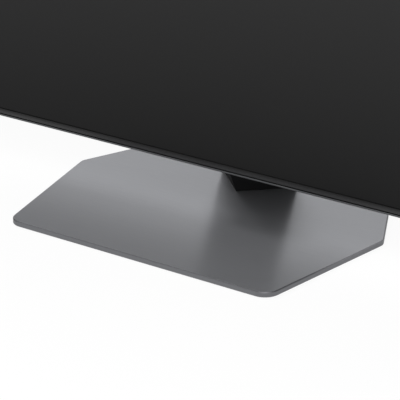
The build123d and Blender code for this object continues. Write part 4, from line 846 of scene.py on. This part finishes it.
class TELEVISION_OT_boards(TelevisionOperator, bpy.types.Operator):
    """Finishes the circuit boards and their large parts, and adds small parts"""

    bl_idname = "television.boards"
    bl_label = "Circuit boards"

    FILLED = ("main_board", "power_board", "timing_board", "led_driver_board", "source_boards")
    NEIGHBOURS = (
        "media_sockets", "data_sockets", "network_socket", "optical_socket", "aerial_socket",
        "mains_inlet", "transformers", "capacitors", "inductors", "board_screws",
        "power_harness", "panel_ribbons", "main_heatsink",
    )
    THICKEST_BOARD = 0.0017
    PART_SIZES = ((0.0016, 0.0008), (0.002, 0.0012), (0.0032, 0.0016))
    PART_SINK = 0.00002
    PART_ROOM = 0.003
    MARGIN_X, MARGIN_Z = 0.007, 0.005
    BOTH_MARGINS_X, BOTH_MARGINS_Z = 0.012, 0.008
    SHIFT_SHARE, TURNED_SHARE, EMPTY_SHARE = 0.5, 0.5, 0.35
    SEED = 7

    def build(self, scene):
        board = scene.television_colours.board
        mask = Finish("solder_mask", board, roughness=0.3, gloss=0.5)
        bricks = {"Vector": mask.place, "Scale": 220.0, "Mortar Size": 0.03}
        tracks = mask.node("ShaderNodeTexBrick", bricks).outputs["Fac"]
        pads = mask.between(mask.speckle(size=0.0016, detail=1), low=0.72, high=0.75)
        mask.tint(tracks, shade(board, 1.9), amount=0.7)
        mask.tint(pads, SOLDER, amount=0.9)
        mask.relief(tracks, height=0.00003)
        dress(mask, *self.FILLED, "radio_board", "sensor_board")
        ribbon = Finish("flat_ribbon", RIBBON, roughness=0.4)
        wires = ribbon.lines("X", pitch=0.0005)
        ribbon.pattern(wires, RIBBON_WIRE, amount=0.7, height=0.00003)
        dress(ribbon, "panel_ribbons")
        drawn = metal("drawn_aluminium", ALUMINIUM, roughness=0.32, stretch=(1, 1, 0.06))
        dress(drawn, "main_heatsink")
        sleeve = Finish("shrink_sleeve", SLEEVE, roughness=0.28)
        stripe = sleeve.between(sleeve.lines("Z", pitch=0.02), low=0.9, high=0.93)
        sleeve.tint(stripe, SLEEVE_STRIPE, amount=0.6)
        sleeve.relief(sleeve.speckle(size=0.002), height=0.00003)
        dress(sleeve, "capacitors")
        tape = Finish("winding_tape", TAPE, roughness=0.35)
        laps = tape.lines("Z", pitch=0.006)
        tape.tint(tape.between(laps, low=0.6, high=0.65), TAPE_LAP, amount=0.7)
        tape.relief(laps, height=0.00004)
        dress(tape, "transformers")
        winding = Finish("ring_winding", COPPER, roughness=0.3, metal=0.6)
        turns = winding.cells(size=0.0012)
        winding.pattern(turns, COPPER_TURN, amount=0.5, height=0.0001)
        dress(winding, "inductors")
        leads = Finish("lead_sleeve_white", WHITE_LEAD, roughness=0.42)
        side_by_side = leads.lines("Z", pitch=0.0011)
        leads.pattern(side_by_side, RED_LEAD, amount=0.7, height=0.0002)
        dress(leads, "power_harness")
        self.add_small_parts(scene)

    def add_small_parts(self, scene):
        """Rows of small resistors and capacitors in the free places of the large boards."""
        chance = random.Random(self.SEED)
        spacing = scene.television_sizes.part_spacing
        neighbours = [box for node in self.NEIGHBOURS for box in solid_boxes(node)]
        shape = bmesh.new()
        for node in self.FILLED:
            boards, taken = [], list(neighbours)
            for low, high in solid_boxes(node):
                flat = high.y - low.y < self.THICKEST_BOARD
                (boards if flat else taken).append((low, high))
            for low, high in boards:
                self.fill_board(shape, low, high, taken, spacing, chance)
        small = Finish("small_part_body", PART_BODY, roughness=0.4)
        tan = small.between(small.cells(size=0.005), low=0.45, high=0.5)
        small.tint(tan, PART_TAN, amount=0.9)
        small.relief(small.speckle(size=0.0005), height=0.00001)
        make_piece("board_small_parts", shape, small)

    def fill_board(self, shape, low, high, taken, spacing, chance):
        """Small parts in columns and rows, each moved and turned by chance."""
        columns = int((high.x - low.x - self.BOTH_MARGINS_X) / spacing)
        rows = int((high.z - low.z - self.BOTH_MARGINS_Z) / spacing)
        back = high.y - self.PART_SINK
        shift = self.SHIFT_SHARE
        for column in range(columns):
            for row in range(rows):
                x = low.x + self.MARGIN_X + (column + chance.random() * shift) * spacing
                z = low.z + self.MARGIN_Z + (row + chance.random() * shift) * spacing
                across, up = chance.choice(self.PART_SIZES)
                if chance.random() < self.TURNED_SHARE:
                    across, up = up, across
                if chance.random() < self.EMPTY_SHARE or self.is_taken(x, z, taken):
                    continue
                top = high.y + min(across, up) / 2
                corner = (x - across / 2, back, z - up / 2)
                add_block(shape, corner, (x + across / 2, top, z + up / 2))

    def is_taken(self, x, z, taken):
        room = self.PART_ROOM
        return any(
            low.x - room < x < high.x + room and low.z - room < z < high.z + room
            for low, high in taken
        )


class TongueRow(NamedTuple):
    """A socket's tongue: its front from the socket's front side, and its row of contacts."""

    front: float
    thickness: float
    count: int
    width: float


class TELEVISION_OT_sockets(TelevisionOperator, bpy.types.Operator):
    """Finishes the sockets and adds their contacts"""

    bl_idname = "television.sockets"
    bl_label = "Sockets"

    MEDIA_ROW = TongueRow(front=0.0022, thickness=0.0014, count=10, width=0.010)
    DATA_ROW = TongueRow(front=0.0012, thickness=0.0019, count=4, width=0.0112)
    DATA_CONTACT_WIDTH = 0.0012
    ROW_SHARE = 0.9  # of the tongue's width
    CONTACT_START, CONTACT_END = 0.009, 0.0019  # from the mouth of the socket
    CONTACT_SINK, CONTACT_RISE = 0.0001, 0.00012
    SPRING_COUNT, SPRING_SPACING, SPRING_RADIUS = 8, 0.00102, 0.00018
    SPRING_START = (0.0025, 0.0032)  # from the mouth and from the front side
    SPRING_END = (0.011, 0.0058)
    SPRING_TIP = 0.0001

    def build(self, scene):
        nickel = metal("nickel_shell", NICKEL, roughness=0.26)
        dress(nickel, "media_sockets", "data_sockets", "aerial_socket")
        black = moulded("socket_plastic_black", SOCKET_PLASTIC, roughness=0.4)
        dress(black, "network_socket", "optical_socket", "mains_inlet")
        gilt = metal("gilt_contact", scene.television_colours.contact, roughness=0.2)
        contact_width = scene.television_sizes.contact_width
        shape = bmesh.new()
        for low, high in solid_boxes("media_sockets"):
            self.add_row(shape, low, high, self.MEDIA_ROW, contact_width)
        for low, high in solid_boxes("data_sockets"):
            self.add_row(shape, low, high, self.DATA_ROW, self.DATA_CONTACT_WIDTH)
        make_piece("socket_contacts", shape, gilt)
        shape = bmesh.new()
        for low, high in solid_boxes("network_socket"):
            self.add_springs(shape, low, high)
        make_piece("network_springs", shape, gilt)

    def add_row(self, shape, low, high, row, contact_width):
        """Flat contacts on the back of a socket's tongue."""
        middle = (low.z + high.z) / 2
        face = low.y + row.front + row.thickness
        start, end = high.x - self.CONTACT_START, high.x - self.CONTACT_END
        for index in range(row.count):
            z = middle + ((index + 0.5) / row.count - 0.5) * row.width * self.ROW_SHARE
            corner = (start, face - self.CONTACT_SINK, z - contact_width / 2)
            opposite = (end, face + self.CONTACT_RISE, z + contact_width / 2)
            add_block(shape, corner, opposite, bevel=0.00005)

    def add_springs(self, shape, low, high):
        """Sprung wires that slope down into the mouth."""
        middle = (low.z + high.z) / 2
        radius, tip = self.SPRING_RADIUS, self.SPRING_TIP
        for index in range(self.SPRING_COUNT):
            z = middle + (index - (self.SPRING_COUNT - 1) / 2) * self.SPRING_SPACING
            start, end = (
                Vector((high.x - inward, low.y + up, z))
                for inward, up in (self.SPRING_START, self.SPRING_END)
            )
            run = end - start
            turn = run.to_track_quat("Z", "Y").to_matrix().to_4x4()
            rings = [(0, 0), (tip, radius), (run.length, radius), (run.length + tip, 0)]
            add_rings(shape, rings, Matrix.Translation(start) @ turn, steps=8)


class TELEVISION_OT_back(TelevisionOperator, bpy.types.Operator):
    """Finishes the rear cover and the bays in it"""

    bl_idname = "television.back"
    bl_label = "Rear cover"

    def build(self, scene):
        colour = scene.television_colours.cover
        pitch = scene.television_sizes.cover_line_pitch
        cover = moulded("lined_cover_plastic", colour, roughness=0.52)
        cover.relief(cover.lines("Z", pitch), height=0.00012)
        dress(cover, "rear_cover")
        bay = moulded("bay_plastic_black", shade(colour, 0.8), roughness=0.48)
        dress(bay, "connector_bay", "power_bay")


class TELEVISION_OT_speakers(TelevisionOperator, bpy.types.Operator):
    """Finishes both speakers"""

    bl_idname = "television.speakers"
    bl_label = "Speakers"

    def build(self, scene):
        steel = scene.television_colours.steel
        cone = Finish("pressed_paper", PAPER, roughness=0.85, gloss=0.15)
        fibre = cone.speckle(size=0.0011, detail=6, stretch=(1, 0.2, 1.6))
        cone.pattern(fibre, PAPER_FIBRE, amount=0.6, height=0.00012)
        finishes = {
            "speaker_box": moulded("speaker_plastic_black", SPEAKER_PLASTIC, roughness=0.55),
            "speaker_bushes": rubber("bush_rubber_soft", RUBBER),
            "woofer_frame": metal("pressed_basket", shade(steel, 0.5), roughness=0.4),
            "woofer_magnet": metal("plated_yoke", shade(steel, 1.05), roughness=0.25),
            "woofer_cone": cone,
            "woofer_surround": rubber("surround_rubber_soft", SURROUND_RUBBER),
        }
        for node, finish in finishes.items():
            dress(finish, "right_" + node, "left_" + node)


class TELEVISION_OT_controls(TelevisionOperator, bpy.types.Operator):
    """Finishes the control housing and adds the receiver and the light behind its window"""

    bl_idname = "television.controls"
    bl_label = "Control housing"

    RECEIVER = (-0.003, 0.0014)  # its place beside the window's middle, and its half width
    LIGHT = (0.005, 0.0009)
    WINDOW_GAP, DEPTH, DOME_RISE = 0.0001, 0.0012, 0.001
    DOME_SHARE = 0.9  # of the half width

    def build(self, scene):
        housing = moulded("housing_plastic_black", HOUSING, roughness=0.42)
        dress(housing, "sensor_housing")
        window = Finish("smoked_window", WINDOW, roughness=0.08, gloss=0.5)
        window.set("Transmission Weight", 0.6)
        window.cloud(0.01, WINDOW_CLOUD, amount=0.5)
        window.relief(window.speckle(size=0.003), height=0.000004)
        dress(window, "sensor_window")
        button = moulded("button_plastic_grey", BUTTON, roughness=0.38)
        dress(button, "control_button", "microphone_switch")
        self.add_receiver(scene.television_sizes.sensor_board_thickness)

    def add_receiver(self, board_thickness):
        """A domed receiver and a small light that hang under the sensor board."""
        low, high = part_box("sensor_window")
        middle = (low + high) / 2
        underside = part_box("sensor_board")[1].z - board_thickness
        front = high.y + self.WINDOW_GAP + self.DEPTH
        shape = bmesh.new()
        for offset, half in (self.RECEIVER, self.LIGHT):
            centre = Vector((middle.x + offset, front, middle.z))
            corner = centre - Vector((half, 0, half))
            opposite = (centre.x + half, centre.y + self.DEPTH, underside)
            add_block(shape, corner, opposite, bevel=0.0002)
            rings = dome_rings(self.DOME_RISE, half * self.DOME_SHARE, steps=5)
            add_rings(shape, rings, Matrix.Translation(centre) @ FACING_FRONT, steps=16)
        resin = Finish("dark_resin", RESIN, roughness=0.1)
        resin.cloud(0.001, RESIN_CLOUD, amount=0.5)
        resin.relief(resin.speckle(size=0.0006), height=0.000005)
        make_piece("receiver_and_light", shape, resin)


class TELEVISION_OT_stand(TelevisionOperator, bpy.types.Operator):
    """Finishes the base plate and the neck, and gives the feet their rings"""

    bl_idname = "television.stand"
    bl_label = "Stand"

    DEEP = 0.0004
    GROOVES = (0.80, 0.60, 0.40, 0.20)  # their middles, as shares of the foot's radius
    # The height of each edge of a groove, and its share beside the middle
    GROOVE_EDGES = ((0, 0.06), (DEEP, 0.03), (DEEP, -0.03), (0, -0.06))

    def build(self, scene):
        colours = scene.television_colours
        dress(self.brushed_plate(colours.plate), "base_plate")
        neck = moulded("satin_black_plastic", colours.neck, roughness=0.6, gloss=0.02)
        dress(neck, "neck_front_cover", "neck_rear_cover")
        self.add_feet()

    def brushed_plate(self, colour):
        """Satin metal brushed along its length, with painted shade that darkens its bevel and its
        sides.
        """
        plate = Finish("satin_plate_metal", colour, roughness=0.37, metal=0.87)
        grain = plate.speckle(size=0.0005, detail=5, stretch=(0.02, 1, 1))
        upward = plate.node("ShaderNodeSeparateXYZ", {0: plate.facing()}).outputs[2]
        across = plate.node("ShaderNodeCombineXYZ", {0: 0.0, 1: 1.0, 2: 0.0}).outputs[0]
        plate.cloud(0.09, shade(colour, 0.94), amount=0.5)
        plate.tint(grain, shade(colour, 0.9), amount=0.3)
        # Painted shade: the bevel and the sides darker than the top
        plate.tint(plate.between(upward, low=0.98, high=0.85), shade(colour, 0.40))
        # Painted shade on the sides, a little lighter than on the bevel
        plate.tint(plate.between(upward, low=0.5, high=0.3), shade(colour, 0.60))
        plate.sheen(grain, low=0.33, high=0.41)
        plate.set("Anisotropic", 0.9)
        plate.feed(plate.shader.inputs["Tangent"], across)
        plate.relief(grain, height=0.000002)
        return plate

    def add_feet(self):
        """Rubber feet with ringed soles."""
        shape = bmesh.new()
        for low, high in solid_boxes("base_feet"):
            middle = (low + high) / 2
            middle.z = low.z
            radius = (high.x - low.x) / 2
            height = high.z - low.z
            rings = [(height, 0), (height, radius), (self.DEEP, radius), (0, radius - self.DEEP)]
            for groove in self.GROOVES:
                rings += [(rise, radius * (groove + beside)) for rise, beside in self.GROOVE_EDGES]
            rings.append((0, 0))
            add_rings(shape, rings, Matrix.Translation(middle), steps=40)
        grey = rubber("foot_rubber_grey", RUBBER)
        make_piece("ringed_feet", shape, grey, replaces=("base_feet",))


class TELEVISION_PT_panel(bpy.types.Panel):
    """Lists the sizes, the colours and the steps"""

    bl_idname = "TELEVISION_PT_panel"
    bl_label = "Television"
    bl_space_type = "VIEW_3D"
    bl_region_type = "UI"
    bl_category = "Television"

    def draw(self, context):
        for name in SETTINGS:
            settings = getattr(context.scene, name)
            column = self.layout.column()
            for field in settings.bl_rna.properties:
                if not field.is_readonly and field.identifier != "name":
                    column.prop(settings, field.identifier)
        for step in STEPS:
            self.layout.operator(step.bl_idname)


STEPS = (
    TELEVISION_OT_stage,
    TELEVISION_OT_screen,
    TELEVISION_OT_optics,
    TELEVISION_OT_chassis,
    TELEVISION_OT_fasteners,
    TELEVISION_OT_boards,
    TELEVISION_OT_sockets,
    TELEVISION_OT_back,
    TELEVISION_OT_speakers,
    TELEVISION_OT_controls,
    TELEVISION_OT_stand,
)
SETTINGS = {
    "television_stage": TelevisionStage,
    "television_colours": TelevisionColours,
    "television_sizes": TelevisionSizes,
}


def register():
    for kind in (*SETTINGS.values(), *STEPS, TELEVISION_PT_panel):
        bpy.utils.register_class(kind)
    for name, kind in SETTINGS.items():
        setattr(bpy.types.Scene, name, PointerProperty(type=kind))


def unregister():
    for name in SETTINGS:
        delattr(bpy.types.Scene, name)
    for kind in reversed((*SETTINGS.values(), *STEPS, TELEVISION_PT_panel)):
        bpy.utils.unregister_class(kind)


def main():
    for thing in list(bpy.data.objects):
        if thing.type in ("CAMERA", "LIGHT") or thing.name == "Cube":
            bpy.data.objects.remove(thing)
    register()
    for step in STEPS:
        group, action = step.bl_idname.split(".")
        getattr(getattr(bpy.ops, group), action)()


if __name__ == "__main__":
    main()
